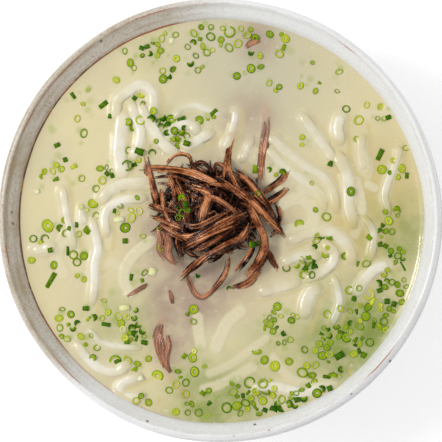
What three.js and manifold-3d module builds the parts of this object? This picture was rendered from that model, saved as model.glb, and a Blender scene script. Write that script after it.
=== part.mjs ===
// A stoneware bowl filled to just under its rim with hand-cut noodle soup.
// Flat wheat noodles break the surface of a milky broth, sliced scallion floats on it,
// and a heap of shredded beef lies in the middle.
// Millimetres, +Z up; the origin is the middle of the foot ring, on the table.
import * as THREE from 'three';
import { mergeVertices } from 'three/addons/utils/BufferGeometryUtils.js';
import Module from 'manifold-3d';

const wasm = await Module();
wasm.setup();

// ---------------------------------------------------------------- driving dimensions
const BOWL_RADIUS = 100;       // outermost, just under the rim
const BOWL_HEIGHT = 75;
const RIDGE_RADIUS = 97.4;     // the rim's highest line
const RIDGE_DRIFT = 1.2;       // how far the hand-thrown ridge runs off centre
const RIDGE_DRIFT_SIDE = 2.3;  // radians from +X, the side it runs off to
const RIM_ROUND = 4;           // height of the rounding outside the ridge
const LIP_RADIUS = 92.8;       // inner edge of the sloping lip, where the broth stands
const LIP_HEIGHT = 67.6;
const FOOT_RADIUS = 50;
const FOOT_INNER = 43;
const FOOT_HEIGHT = 7;
const FOOT_RECESS = 5.5;
const FLOOR_RADIUS = 45;       // where the floor inside turns up into the wall
const FLOOR_HEIGHT = 13;
const FLOOR_DIP = 1;
const BOWL_SEGMENTS = 48;

const BROTH_LEVEL = 67;
const GAP = 0.3;               // between pieces that touch

const NOODLE_SIDES = 4;        // cut with a knife, so a rectangle
const NOODLE_STEP = 7;         // length of one facet along a noodle
const NOODLE_UNDERSIDE = 2.8;  // under the broth's surface, bedded in the sunken mass
const MASS_DEPTH = 2.2;        // top of the sunken mass under the broth's surface
const MASS_FLAT = 62;          // how far out its top stays level
const MASS_REACH = 85;
const DIVE_RUN = 6;            // how far past its visible end a noodle takes to go under
const DIVE_DEPTH = 5.5;

const HEAP_CENTRE = [-3, -1];
const HEAP_HALF = [31, 30];    // half lengths of the heap's footprint in x and y
const HEAP_RISE = 12;
const HEAP_UNDERSIDE = 1.8;    // how far it reaches under the broth's surface
const SHRED_THICK = 3.2;
const SHRED_SIDES = 5;
const SHRED_STEP = 8;

const SCALLION_HEIGHT = 1.3;
const SCALLION_WALL = 0.75;
const SCALLION_SHOWS = 0.7;    // how much of a slice stands above what it lies on
const SCALLION_SIDES = 6;

const FACET_TOLERANCE = 0.05;  // how far merging flat facets may move a surface
const CORNER_GRID = 0.02;      // corners are rounded to this, so that none nearly meet

// ---------------------------------------------------------------- finishes
const finish = (color, roughness) => new THREE.MeshStandardMaterial({ color, roughness, metalness: 0 });
const STONEWARE = finish(0xd9d7cf, 0.45);
const BROTH = finish(0xd2c8a2, 0.2);
const DOUGH = finish(0xe4dcc2, 0.35);
const BEEF = finish(0x7d4e38, 0.5);

// ---------------------------------------------------------------- helpers
function randomFrom(seed) {
  let state = seed;
  return () => {
    state = (state + 0x6d2b79f5) | 0;
    let mixed = Math.imul(state ^ (state >>> 15), 1 | state);
    mixed = (mixed + Math.imul(mixed ^ (mixed >>> 7), 61 | mixed)) ^ mixed;
    return ((mixed ^ (mixed >>> 14)) >>> 0) / 4294967296;
  };
}

// A closed geometry as a solid, turned the right way out where it isn't.
function solidOf(geometry) {
  const bare = geometry.clone();
  bare.deleteAttribute('normal');
  bare.deleteAttribute('uv');
  const merged = mergeVertices(bare, 1e-4);
  const corners = Float32Array.from(merged.attributes.position.array);
  const faces = Uint32Array.from(merged.index.array);
  const kept = [];
  for (let i = 0; i < faces.length; i += 3) {
    const [a, b, c] = faces.subarray(i, i + 3);
    if (a !== b && b !== c && c !== a) kept.push(a, b, c);
  }
  if (signedVolume(corners, kept) < 0) {
    for (let i = 0; i < kept.length; i += 3) [kept[i + 1], kept[i + 2]] = [kept[i + 2], kept[i + 1]];
  }
  const mesh = new wasm.Mesh({ numProp: 3, vertProperties: corners, triVerts: Uint32Array.from(kept) });
  return new wasm.Manifold(mesh);
}

function signedVolume(corners, faces) {
  const [a, b, c] = [new THREE.Vector3(), new THREE.Vector3(), new THREE.Vector3()];
  let volume = 0;
  for (let i = 0; i < faces.length; i += 3) {
    a.fromArray(corners, faces[i] * 3);
    b.fromArray(corners, faces[i + 1] * 3);
    c.fromArray(corners, faces[i + 2] * 3);
    volume += a.dot(b.cross(c)) / 6;
  }
  return volume;
}

const joined = (solids) => solids.reduce((whole, next) => whole.add(next));

// A solid with its corners on a fine grid, which closes up slivers and hairline edges.
function onGrid(solid) {
  const { vertProperties, triVerts } = solid.getMesh();
  const rounded = vertProperties.map((value) => Math.round(value / CORNER_GRID) * CORNER_GRID);
  const geometry = new THREE.BufferGeometry();
  geometry.setAttribute('position', new THREE.BufferAttribute(rounded, 3));
  geometry.setIndex(new THREE.BufferAttribute(triVerts, 1));
  return solidOf(geometry);
}

// The largest piece of a solid: loose scraps and sealed hollows are dropped.
function largest(solid) {
  const pieces = solid.decompose();
  const best = pieces.reduce((most, next) => (next.volume() > most.volume() ? next : most));
  return onGrid(best).simplify(FACET_TOLERANCE);
}

function meshOf(name, solid, material) {
  const { vertProperties, triVerts, numProp } = solid.getMesh();
  if (numProp !== 3) throw new Error(`${name} carries more than positions`);
  const geometry = new THREE.BufferGeometry();
  geometry.setAttribute('position', new THREE.BufferAttribute(vertProperties, 3));
  geometry.setIndex(new THREE.BufferAttribute(triVerts, 1));
  geometry.computeVertexNormals();
  const mesh = new THREE.Mesh(geometry, material);
  mesh.name = name;
  return mesh;
}

// A turned solid: the profile's points are [radius, height], from the axis back to the axis
// or round on themselves.
function turned(profile, segments) {
  const points = profile.map(([radius, height]) => new THREE.Vector2(radius, height));
  return new THREE.LatheGeometry(points, segments).rotateX(Math.PI / 2);
}

// Points on a quarter ellipse that leaves `low` level and arrives at `high` upright.
function quarterEllipse([lowRadius, lowHeight], [highRadius, highHeight], count) {
  return Array.from({ length: count + 1 }, (_, i) => {
    const turn = (i / count) * (Math.PI / 2);
    return [
      lowRadius + (highRadius - lowRadius) * Math.sin(turn),
      highHeight - (highHeight - lowHeight) * Math.cos(turn),
    ];
  });
}

// ---------------------------------------------------------------- the bowl
const insideCurve = (inset) => quarterEllipse(
  [FLOOR_RADIUS - inset, FLOOR_HEIGHT + inset],
  [LIP_RADIUS - inset, LIP_HEIGHT],
  6,
);

function bowlGeometry() {
  const outside = quarterEllipse([FOOT_RADIUS + 1, FOOT_HEIGHT], [BOWL_RADIUS, BOWL_HEIGHT - RIM_ROUND], 7);
  const rimRound = [BOWL_RADIUS - 0.7, BOWL_HEIGHT - 1.2];
  const closed = [
    [0, FOOT_RECESS + FLOOR_DIP],
    [FOOT_INNER - 1, FOOT_RECESS],
    [FOOT_INNER, 0],
    [FOOT_RADIUS, 0],
    ...outside,
    rimRound,
    [RIDGE_RADIUS, BOWL_HEIGHT],
    ...insideCurve(0).reverse(),
    [0, FLOOR_HEIGHT - FLOOR_DIP],
  ];
  const geometry = turned(closed, BOWL_SEGMENTS);
  driftRidge(geometry.attributes.position);
  return geometry;
}

// The ridge is not quite a circle round the axis, as the rim was finished by hand.
function driftRidge(positions) {
  for (let i = 0; i < positions.count; i += 1) {
    if (positions.getZ(i) < BOWL_HEIGHT - 0.5) continue;
    const side = Math.atan2(positions.getY(i), positions.getX(i));
    const radius = RIDGE_RADIUS + RIDGE_DRIFT * Math.cos(side - RIDGE_DRIFT_SIDE);
    positions.setXY(i, radius * Math.cos(side), radius * Math.sin(side));
  }
}

// What the bowl can hold, a gap inside its wall, up to a height that may lie over the rim.
function roomInside(top) {
  const wall = insideCurve(GAP).slice(0, -1);
  const lip = LIP_RADIUS - GAP;
  const upper = top > LIP_HEIGHT ? [[lip, LIP_HEIGHT], [lip, top]] : [[lip, top]];
  return solidOf(turned([[0, FLOOR_HEIGHT - FLOOR_DIP + GAP], ...wall, ...upper, [0, top]], BOWL_SEGMENTS));
}

// ---------------------------------------------------------------- strips: noodles and shreds
// A strip along a route of [x, y, z], closed at both ends. Its section is a flattened
// polygon, and with four sides a rectangle of the full width and thickness.
function strip(route, { width, thick, sides, step, grow = 0 }) {
  const curve = new THREE.CatmullRomCurve3(route.map((p) => new THREE.Vector3(...p)), false, 'centripetal');
  const steps = Math.max(3, Math.round(curve.getLength() / step));
  const up = new THREE.Vector3(0, 0, 1);
  const reach = sides === 4 ? Math.SQRT2 : 1;
  const corners = [];
  for (let i = 0; i <= steps; i += 1) {
    const centre = curve.getPointAt(i / steps);
    const along = curve.getTangentAt(i / steps);
    if (i === 0) centre.addScaledVector(along, -grow);
    if (i === steps) centre.addScaledVector(along, grow);
    const across = along.clone().cross(up).normalize();
    const over = across.clone().cross(along);
    for (let k = 0; k < sides; k += 1) {
      const turn = ((k + 0.5) / sides) * 2 * Math.PI;
      const corner = centre.clone()
        .addScaledVector(across, (width / 2 + grow) * reach * Math.cos(turn))
        .addScaledVector(over, (thick / 2 + grow) * reach * Math.sin(turn));
      corners.push(corner.x, corner.y, corner.z);
    }
  }
  const faces = [];
  for (let i = 0; i < steps; i += 1) {
    for (let k = 0; k < sides; k += 1) {
      const here = i * sides + k;
      const beside = i * sides + ((k + 1) % sides);
      faces.push(here, beside, here + sides, beside, beside + sides, here + sides);
    }
  }
  const last = steps * sides;
  for (let k = 1; k < sides - 1; k += 1) faces.push(0, k + 1, k, last, last + k, last + k + 1);
  const geometry = new THREE.BufferGeometry();
  geometry.setAttribute('position', new THREE.Float32BufferAttribute(corners, 3));
  geometry.setIndex(faces);
  return geometry;
}

// ---------------------------------------------------------------- noodles
// path: what shows from above, [x, y]; top: how far it stands out of the broth;
// cut: which end lies on the surface as a cut end, where the others go under.
const NOODLES = [
  { path: [[-48, 48.5], [-47, 55], [-42.5, 59], [-36.5, 62], [-31.5, 59], [-30.5, 54], [-31, 49]], width: 5, top: 2.4 },
  { path: [[-44.5, 48], [-46, 35.5], [-46, 28], [-45, 21]], width: 6.4, top: 2.2 },
  { path: [[-40.5, 52], [-38.5, 47], [-36.5, 41], [-37.5, 34], [-40, 30]], width: 4.6, top: 2.6 },
  { path: [[-36, 51], [-31, 42], [-27, 36], [-21.5, 31]], width: 5, top: 2.8 },
  { path: [[-20.5, 47.5], [-17.5, 51], [-12, 52.5], [-7, 51], [1.5, 48]], width: 3.7, top: 0.8 },
  { path: [[-24, 38], [-22, 41.5], [-18, 43.5], [-13.5, 43.5], [-11, 41]], width: 4.6, top: 2.5 },
  { path: [[-16.5, 34], [-12.5, 35.5], [-9, 38], [-5, 40]], width: 5, top: 2.1 },
  { path: [[6.5, 51], [6.3, 46], [4.5, 40], [2, 33]], width: 3.7, top: 1.4, cut: 'start' },
  { path: [[14, 36.5], [12, 32], [10, 28]], width: 3.7, top: 1.5 },
  { path: [[23.5, 37.5], [31.5, 30], [40, 24], [46.5, 20], [50.8, 14], [52.2, 6]], width: 4.8, top: 2.2 },
  { path: [[22.5, 32], [27.5, 26], [36.5, 19], [43.5, 13.5], [46.6, 7]], width: 4.8, top: 2 },
  { path: [[37.5, 47], [43.5, 39], [48.5, 32], [51, 28]], width: 4.8, top: 2.1 },
  { path: [[53.5, 29], [57, 22.5], [58, 14.5], [58.5, 6], [60.5, -1]], width: 5.7, top: 2.6 },
  { path: [[54.5, 48], [53, 42.5], [54, 37]], width: 5.3, top: 2.3, cut: 'start' },
  { path: [[64, 38], [64, 31], [65.5, 23]], width: 5, top: 1.1, cut: 'end' },
  { path: [[80.5, 33], [80, 28], [76.5, 19], [74.5, 11.5], [76, 4.5]], width: 3.7, top: 1.9 },
  { path: [[32, -9], [38, -5.8], [46, -4.3], [53, -6.6], [58.4, -12.5], [59.3, -18]], width: 5.5, top: 2 },
  { path: [[48, -11], [51.5, -14.5], [50.5, -19], [46, -23], [40, -26]], width: 4.6, top: 2.6 },
  { path: [[29, -18.5], [34, -16.5], [39, -15.3], [43, -16]], width: 4.6, top: 1.9 },
  { path: [[19, -32], [25, -30.5], [34, -28]], width: 5.3, top: 1.8 },
  { path: [[44, -30.5], [41, -32.5], [39, -37], [38.5, -42]], width: 6, top: 2.3 },
  { path: [[51.5, -26.5], [53, -31], [53.8, -38], [51, -45.5]], width: 3.9, top: 2 },
  { path: [[66, 0.5], [69, -4], [69.5, -9], [68.5, -15.5]], width: 3.9, top: 2.3 },
  { path: [[76.5, -20], [70.5, -21.7], [65.5, -26.5], [62, -32.5]], width: 5, top: 2.3, cut: 'start' },
  { path: [[16, -76], [23, -75.2], [30, -76.3], [38, -78.5], [46, -75], [54, -73.5]], width: 4.6, top: 2.1 },
  { path: [[-58.5, -1], [-57, -7], [-56, -13], [-57.5, -20], [-57.5, -28], [-58.5, -36]], width: 4.4, top: 2.3 },
  { path: [[-72, 14], [-71, 7], [-69.2, -2], [-67.4, -10]], width: 4.1, top: 2.1 },
  { path: [[-86, -13], [-81, -13], [-76.5, -11.5]], width: 5.2, top: 1.8, cut: 'start' },
  { path: [[-64, 8], [-63.8, 2.5], [-63.4, -2]], width: 5.6, top: 2.1, cut: 'start' },
  { path: [[-34, 17.5], [-43.5, 16.8], [-50, 14.3], [-54, 10]], width: 5.5, top: 2.4 },
  { path: [[-35.5, 10.2], [-45, 9.5], [-51, 6], [-53, 1], [-52.5, -5]], width: 4.6, top: 2.1 },
  { path: [[-59, -50.5], [-54.5, -55.3], [-47.5, -57], [-38, -57.8]], width: 3.4, top: 1.3 },
  { path: [[-65.5, -56.5], [-61, -62.5], [-54.5, -67.3], [-47.5, -68.3], [-43, -65.5]], width: 5, top: 2.2 },
  { path: [[-38, -71], [-43.5, -73], [-46.2, -76], [-44.5, -79.4], [-37, -80.4]], width: 4.6, top: 2.2 },
];

// A visible path with its ends carried on and down into the sunken mass.
function noodleRoute({ path, top, cut = 'none' }) {
  const level = BROTH_LEVEL + (top - NOODLE_UNDERSIDE) / 2;
  const shown = path.map(([x, y]) => [x, y, level]);
  const count = path.length;
  const start = cut === 'start' ? [] : [underEnd(path[0], path[1])];
  const end = cut === 'end' ? [] : [underEnd(path[count - 1], path[count - 2])];
  return [...start, ...shown, ...end];
}

function underEnd([x, y], [beforeX, beforeY]) {
  const length = Math.hypot(x - beforeX, y - beforeY);
  const onX = x + ((x - beforeX) / length) * DIVE_RUN;
  const onY = y + ((y - beforeY) / length) * DIVE_RUN;
  const pull = Math.min(1, (MASS_REACH - 4) / Math.hypot(onX, onY));
  return [onX * pull, onY * pull, BROTH_LEVEL - DIVE_DEPTH];
}

// The mass that lies under the broth: it stands on the bowl's floor, and shows nowhere.
function noodleMass(grow) {
  const top = BROTH_LEVEL - MASS_DEPTH + grow;
  const foot = FLOOR_HEIGHT - FLOOR_DIP + GAP - grow;
  const reach = MASS_REACH + grow;
  return solidOf(turned([[0, foot], [30, foot], [60, foot + 7], [reach - 12, 36], [reach, 50],
    [reach - 4, top - 6], [MASS_FLAT + grow, top], [0, top]], 28));
}

function noodleSolid(grow) {
  const strands = NOODLES.map((noodle) => solidOf(strip(noodleRoute(noodle), {
    width: noodle.width, thick: noodle.top + NOODLE_UNDERSIDE, sides: NOODLE_SIDES, step: NOODLE_STEP, grow,
  })));
  return joined([noodleMass(grow), ...strands]);
}

// ---------------------------------------------------------------- beef
// path: [x, y]; lift: how far the shred lies over the heap's own surface.
const HEAP_SHREDS = [
  { path: [[-37.5, 23.5], [-28.5, 24], [-15.5, 22], [-6, 18.5], [0.5, 15]], width: 3.7, lift: 1.6 },
  { path: [[-34, 29], [-33, 21.5], [-31, 15], [-28.5, 6]], width: 3.9, lift: 0.8 },
  { path: [[-25, 25.5], [-20.5, 30], [-15, 29.5], [-13, 23]], width: 2.6, lift: 0.4 },
  { path: [[-3.5, 22], [-2, 26], [1.5, 24], [1.5, 17]], width: 2.6, lift: 0.6 },
  { path: [[5.5, 38.5], [3.5, 31], [3, 24], [5.5, 17.5], [11.5, 8]], width: 3.9, lift: 2.2 },
  { path: [[11.5, 8], [17.5, -3], [19.5, -9.5], [18, -17], [11.5, -26]], width: 3.9, lift: 2.2 },
  { path: [[20.5, 39.5], [19, 31], [18.5, 24], [18.5, 15.5]], width: 4.1, lift: 0.9 },
  { path: [[31.5, 23], [26, 17.5], [17.5, 12]], width: 4.3, lift: 1.6 },
  { path: [[30.5, 15], [25, 10.5], [17.5, 6]], width: 3.4, lift: 0.6 },
  { path: [[5, 23], [12, 18], [19.5, 9], [25.5, -1.5]], width: 3.4, lift: 1.2 },
  { path: [[-2, 19], [7, 13.5], [13, 9], [21, 1.5], [29.5, -7.5]], width: 3.4, lift: 2.6 },
  { path: [[11.5, 3], [3.5, -0.5], [-6, -5.5], [-18, -12.5]], width: 5, lift: 2.4 },
  { path: [[13, 0], [9.5, -7], [3, -10.5], [-6, -15.5], [-12.5, -20.5], [-18.5, -26]], width: 3.4, lift: 2 },
  { path: [[3, -12.5], [2.5, -22], [-2, -29.5], [-7.5, -34], [-12, -30]], width: 2.8, lift: 0.6 },
  { path: [[18.5, -22], [12, -28], [4, -30.5]], width: 3.4, lift: 0.8 },
  { path: [[20, -12], [23.5, -18], [26.5, -22.5]], width: 2.8, lift: 0.6 },
  { path: [[-30, -4], [-27, -12], [-22.5, -20]], width: 5.5, lift: 0.8 },
  { path: [[-27, 14], [-25, 4], [-20, -5]], width: 3.4, lift: 1.2 },
  { path: [[-13, 15.5], [-6, 12], [-8, 4], [-10, -2]], width: 4.2, lift: 1.8 },
  { path: [[-20, 17], [-16, 7], [-14, -3]], width: 4, lift: 1 },
];

const LOOSE_SHREDS = {
  beef_shred_front: [
    { path: [[-26, -49.5], [-28.2, -54], [-28, -59], [-25.5, -64]], width: 3.9 },
    { path: [[-23.5, -51.5], [-23.8, -57], [-24.5, -61.5], [-23.6, -66.5]], width: 3.9 },
  ],
  beef_shred_back: [{ path: [[11.5, 79], [14, 81], [17.5, 82]], width: 2.8 }],
  beef_bit_left: [{ path: [[-43, -35], [-38.5, -32.5], [-35, -30]], width: 2.8 }],
  beef_bit_mid: [{ path: [[-23.5, -31.5], [-22.5, -34], [-22, -37.5]], width: 2.6 }],
};

// How high the heap's surface stands over the broth at a place.
function heapOver(x, y) {
  const away = ((x - HEAP_CENTRE[0]) / HEAP_HALF[0]) ** 2 + ((y - HEAP_CENTRE[1]) / HEAP_HALF[1]) ** 2;
  return HEAP_RISE * Math.max(0, 1 - away);
}

// Shreds follow the heap's surface; an end past the heap's edge comes down on the broth.
function shredRoute({ path, lift }) {
  return path.map(([x, y]) => {
    const over = heapOver(x, y);
    const share = Math.min(1, over / 3);
    return [x, y, BROTH_LEVEL + over + lift * share];
  });
}

function heapCore(grow) {
  const dome = new THREE.SphereGeometry(1, 16, 8);
  dome.rotateX(Math.PI / 2);
  dome.scale(HEAP_HALF[0] * 0.93 + grow, HEAP_HALF[1] * 0.93 + grow, HEAP_RISE * 0.86 + grow);
  dome.translate(HEAP_CENTRE[0], HEAP_CENTRE[1], BROTH_LEVEL);
  const slab = new THREE.BoxGeometry(2 * BOWL_RADIUS, 2 * BOWL_RADIUS, BOWL_HEIGHT);
  slab.translate(0, 0, BROTH_LEVEL - HEAP_UNDERSIDE - grow + BOWL_HEIGHT / 2);
  return solidOf(dome).intersect(solidOf(slab));
}

function heapSolid(grow) {
  const shreds = HEAP_SHREDS.map((shred) => solidOf(strip(shredRoute(shred), {
    width: shred.width, thick: SHRED_THICK, sides: SHRED_SIDES, step: SHRED_STEP, grow,
  })));
  return joined([heapCore(grow), ...shreds]);
}

function looseSolid(shreds, grow) {
  return joined(shreds.map(({ path, width }) => solidOf(strip(
    path.map(([x, y]) => [x, y, BROTH_LEVEL - 0.2]),
    { width, thick: SHRED_THICK, sides: SHRED_SIDES, step: SHRED_STEP / 2, grow },
  ))));
}

// ---------------------------------------------------------------- scallion
// Where slices lie thickest: [x, y, spread, count].
const SCALLION_DRIFTS = [
  [-14, 79, 9, 2], [-30, 71, 9, 2], [22, 79, 10, 2], [50, 62, 10, 1], [75, 52, 8, 1], [83, 22, 5, 1],
  [-66, 58, 8, 1], [-78, 12, 8, 1], [-80, -22, 8, 2], [-70, -42, 8, 1],
  [-45, -44, 9, 1], [-25, -73, 8, 1], [2, -62, 8, 1], [6, -84, 8, 2], [24, -58, 9, 2],
  [45, -60, 9, 1], [62, -55, 8, 2], [76, -38, 8, 2],
];
// Slices that lie on a noodle or on the beef: [x, y].
const SCALLION_ON_NOODLES = [[-35, 60], [-45, 44], [58, 16], [-57, -14]];
const SCALLION_ON_BEEF = [[16.5, 6], [-10, 9], [-16, -11.5]];

function slice(x, y, surface, radius) {
  const low = surface + SCALLION_SHOWS - SCALLION_HEIGHT;
  const high = surface + SCALLION_SHOWS;
  const inner = radius - SCALLION_WALL;
  const ring = turned([[inner, low], [radius, low], [radius, high], [inner, high], [inner, low]], SCALLION_SIDES);
  return solidOf(ring.translate(x, y, 0));
}

// Middle points along every strip that reaches the surface, with half its width.
function surfacePoints() {
  const strips = [
    ...NOODLES.map((noodle) => ({ route: noodleRoute(noodle), width: noodle.width })),
    ...HEAP_SHREDS.map((shred) => ({ route: shredRoute(shred), width: shred.width })),
    ...Object.values(LOOSE_SHREDS).flat().map(({ path, width }) => (
      { route: path.map(([x, y]) => [x, y, BROTH_LEVEL]), width })),
  ];
  return strips.flatMap(({ route, width }) => {
    const curve = new THREE.CatmullRomCurve3(route.map((p) => new THREE.Vector3(...p)), false, 'centripetal');
    const count = Math.ceil(curve.getLength());
    return curve.getSpacedPoints(count)
      .filter(({ z }) => z > BROTH_LEVEL - NOODLE_UNDERSIDE)
      .map(({ x, y }) => ({ x, y, half: width / 2 }));
  });
}

function scallionOnBroth() {
  const random = randomFrom(7);
  const taken = surfacePoints();
  const slices = [];
  for (const [driftX, driftY, spread, count] of SCALLION_DRIFTS) {
    let tries = 0;
    let placed = 0;
    while (placed < count && tries < 60) {
      tries += 1;
      const turn = random() * 2 * Math.PI;
      const away = spread * Math.sqrt(random());
      const x = driftX + away * Math.cos(turn);
      const y = driftY + away * Math.sin(turn);
      const radius = 1.7 + 1.1 * random();
      const inBowl = Math.hypot(x, y) + radius < LIP_RADIUS - 2;
      const offHeap = heapOver(x, y) === 0;
      const offOthers = taken.every((p) => Math.hypot(p.x - x, p.y - y) > p.half + radius + 2 * GAP + 0.3);
      if (!inBowl || !offHeap || !offOthers) continue;
      slices.push(slice(x, y, BROTH_LEVEL, radius));
      taken.push({ x, y, half: radius });
      placed += 1;
    }
  }
  return slices;
}

// The height of a solid's top over a place, found by cutting it with a thin post.
function topOf(solid, x, y) {
  const post = new THREE.CylinderGeometry(0.4, 0.4, 60, 6).rotateX(Math.PI / 2).translate(x, y, BROTH_LEVEL + 5);
  return solid.intersect(solidOf(post)).boundingBox().max[2];
}

const slicesOn = (solid, places, radius) => places.map(([x, y]) => slice(x, y, topOf(solid, x, y) - 0.25, radius));

// ---------------------------------------------------------------- the whole
const room = roomInside(BOWL_HEIGHT + 30);
const looseNames = Object.keys(LOOSE_SHREDS);
const heapSpace = heapSolid(GAP);
const looseSpace = joined(looseNames.map((name) => looseSolid(LOOSE_SHREDS[name], GAP)));

const bareHeap = heapSolid(0);
const heap = largest(joined([bareHeap, ...slicesOn(bareHeap, SCALLION_ON_BEEF, 2)]));

const bareNoodles = noodleSolid(0).intersect(room).subtract(heapSpace).subtract(looseSpace);
const noodles = largest(joined([bareNoodles, ...slicesOn(bareNoodles, SCALLION_ON_NOODLES, 2)]));

// The broth stands in what the bowl leaves, and round everything that breaks its surface.
const bareBroth = roomInside(BROTH_LEVEL)
  .subtract(noodleSolid(GAP))
  .subtract(heapSpace)
  .subtract(looseSpace);
const broth = largest(joined([largest(bareBroth), ...scallionOnBroth()]));

const bowlOfNoodles = new THREE.Group();
bowlOfNoodles.add(meshOf('bowl', solidOf(bowlGeometry()), STONEWARE));
bowlOfNoodles.add(meshOf('broth', broth, BROTH));
bowlOfNoodles.add(meshOf('noodles', noodles, DOUGH));
bowlOfNoodles.add(meshOf('beef_heap', heap, BEEF));
for (const name of looseNames) {
  bowlOfNoodles.add(meshOf(name, looseSolid(LOOSE_SHREDS[name], 0), BEEF));
}

export default bowlOfNoodles;
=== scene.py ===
"""A stoneware bowl of hand-cut noodle soup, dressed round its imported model.

The file is laid out as an add-on: property groups hold the sizes and colours, one operator makes
each kind of piece, and main() calls them in order. Lengths are in metres; places that are written
in millimetres are multiplied by MM.
"""

import math
import random

import bmesh
import bpy
import numpy as np
from bpy.props import FloatProperty, FloatVectorProperty, IntProperty, PointerProperty
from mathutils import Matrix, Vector
from mathutils.bvhtree import BVHTree


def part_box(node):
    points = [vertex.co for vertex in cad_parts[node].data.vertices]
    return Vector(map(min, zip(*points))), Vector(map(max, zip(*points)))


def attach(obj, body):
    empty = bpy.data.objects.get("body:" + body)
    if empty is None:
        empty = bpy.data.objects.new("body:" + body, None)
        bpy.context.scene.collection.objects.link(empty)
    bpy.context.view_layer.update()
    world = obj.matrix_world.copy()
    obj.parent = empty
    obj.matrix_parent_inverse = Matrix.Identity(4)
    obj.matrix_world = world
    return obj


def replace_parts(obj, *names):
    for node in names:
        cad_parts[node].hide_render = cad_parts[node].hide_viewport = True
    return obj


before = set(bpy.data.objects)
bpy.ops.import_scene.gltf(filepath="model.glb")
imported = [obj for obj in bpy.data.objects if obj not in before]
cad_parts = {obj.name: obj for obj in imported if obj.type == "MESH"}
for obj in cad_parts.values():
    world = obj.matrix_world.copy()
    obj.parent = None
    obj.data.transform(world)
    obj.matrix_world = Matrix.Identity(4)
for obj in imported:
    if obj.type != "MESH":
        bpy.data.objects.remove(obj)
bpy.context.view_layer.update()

bl_info = {
    "name": "Bowl of kalguksu",
    "version": (1, 0, 0),
    "blender": (4, 5, 0),
    "location": "View3D > Sidebar > Noodle soup",
    "description": "Makes a stoneware bowl of noodle soup with beef and scallion",
    "category": "Object",
}

MM = 0.001
BODY = "root"
LEVEL = 67 * MM                                  # the broth's surface
BOWL_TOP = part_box("bowl")[1].z
BOWL_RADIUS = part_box("bowl")[1].x
BELLY_HEIGHT = BOWL_TOP - 4 * MM                 # where the bowl is widest
RIDGE_RADIUS = 97.4 * MM
RIDGE_DRIFT = 1.2 * MM
RIDGE_DRIFT_SIDE = 2.3                           # radians from +X
LIP_RADIUS = 92.8 * MM
LIP_HEIGHT = 67.6 * MM
FLOOR_RADIUS = 45 * MM
FLOOR_HEIGHT = 13 * MM
FOOT_RADIUS = 50 * MM
FOOT_INNER = 43 * MM
FOOT_HEIGHT = 7 * MM
FOOT_RECESS = 5.5 * MM
WATERLINE = LIP_RADIUS + 0.25 * MM               # where the broth meets the bowl
WHOLE_TURN = 2 * math.pi


# ------------------------------------------------------------------ trees of nodes
class Wire:
    """An output socket. Sums on it add Math nodes to its tree."""

    def __init__(self, tree, node, index=0):
        self.tree = tree
        self.owner = node
        self.socket = node.outputs[index] if len(node.outputs) else None

    def also(self, index):
        """Another output of the same node."""
        return Wire(self.tree, self.owner, index)

    def __add__(self, other):
        return self.tree.maths("ADD", self, other)

    def __radd__(self, other):
        return self.tree.maths("ADD", other, self)

    def __sub__(self, other):
        return self.tree.maths("SUBTRACT", self, other)

    def __rsub__(self, other):
        return self.tree.maths("SUBTRACT", other, self)

    def __mul__(self, other):
        return self.tree.maths("MULTIPLY", self, other)

    def __rmul__(self, other):
        return self.tree.maths("MULTIPLY", other, self)

    def __truediv__(self, other):
        return self.tree.maths("DIVIDE", self, other)

    def __rtruediv__(self, other):
        return self.tree.maths("DIVIDE", other, self)

    def __pow__(self, other):
        return self.tree.maths("POWER", self, other)

    def __abs__(self):
        return self.tree.maths("ABSOLUTE", self)

    def sign(self):
        return self.tree.maths("SIGN", self)

    def least(self, other):
        return self.tree.maths("MINIMUM", self, other)


class Tree:
    """Adds nodes to the tree of a material or of Geometry Nodes."""

    def __init__(self, tree):
        self.tree = tree

    def add(self, kind, settings=None, sockets=None, output=0):
        """A node: its settings first, then the values or wires of its sockets."""
        node = self.tree.nodes.new(kind)
        for name, value in (settings or {}).items():
            if name == "stops":
                fill_ramp(node.color_ramp, value)
            else:
                setattr(node, name, value)
        for key, value in (sockets or {}).items():
            if isinstance(value, Wire):
                self.tree.links.new(value.socket, node.inputs[key])
            else:
                node.inputs[key].default_value = value
        return Wire(self, node, output)

    # vectors
    def vector(self, operation, first, second=(0, 0, 0), output=0):
        sockets = {0: first, 1: second}
        if operation == "SCALE":
            sockets = {0: first, "Scale": second}
        return self.add("ShaderNodeVectorMath", {"operation": operation}, sockets, output)

    def parts(self, vector):
        split = self.add("ShaderNodeSeparateXYZ", None, {0: vector})
        return split, split.also(1), split.also(2)

    def joined(self, x, y, z):
        return self.add("ShaderNodeCombineXYZ", None, {0: x, 1: y, 2: z})

    # values
    def between(self, value, low, high, to_low=0.0, to_high=1.0):
        """A smooth step from to_low at low to to_high at high."""
        return self.add(
            "ShaderNodeMapRange",
            {"interpolation_type": "SMOOTHSTEP"},
            {"Value": value, "From Min": low, "From Max": high, "To Min": to_low, "To Max": to_high},
        )

    def noise(self, place, scale, detail=2.0, roughness=0.5, distortion=0.0):
        return self.add(
            "ShaderNodeTexNoise",
            None,
            {"Vector": place, "Scale": scale, "Detail": detail, "Roughness": roughness,
             "Distortion": distortion},
        )

    def maths(self, operation, *values):
        """A Math node on wires and numbers."""
        return self.add("ShaderNodeMath", {"operation": operation}, dict(enumerate(values)))

    def blend(self, share, low, high):
        """Two colours mixed by a share from 0 to 1."""
        return self.add(
            "ShaderNodeMix",
            {"data_type": "RGBA", "clamp_factor": True},
            {"Factor": share, 6: solid(low), 7: solid(high)},
            output=2,
        )

    def ramp(self, value, stops):
        return self.add("ShaderNodeValToRGB", {"stops": stops}, {"Fac": value})


def fill_ramp(ramp, stops):
    """Puts (place, colour) stops on a colour ramp."""
    while len(ramp.elements) < len(stops):
        ramp.elements.new(0.5)
    for element, (place, colour) in zip(ramp.elements, stops):
        element.position = place
        element.color = solid(colour)


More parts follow.
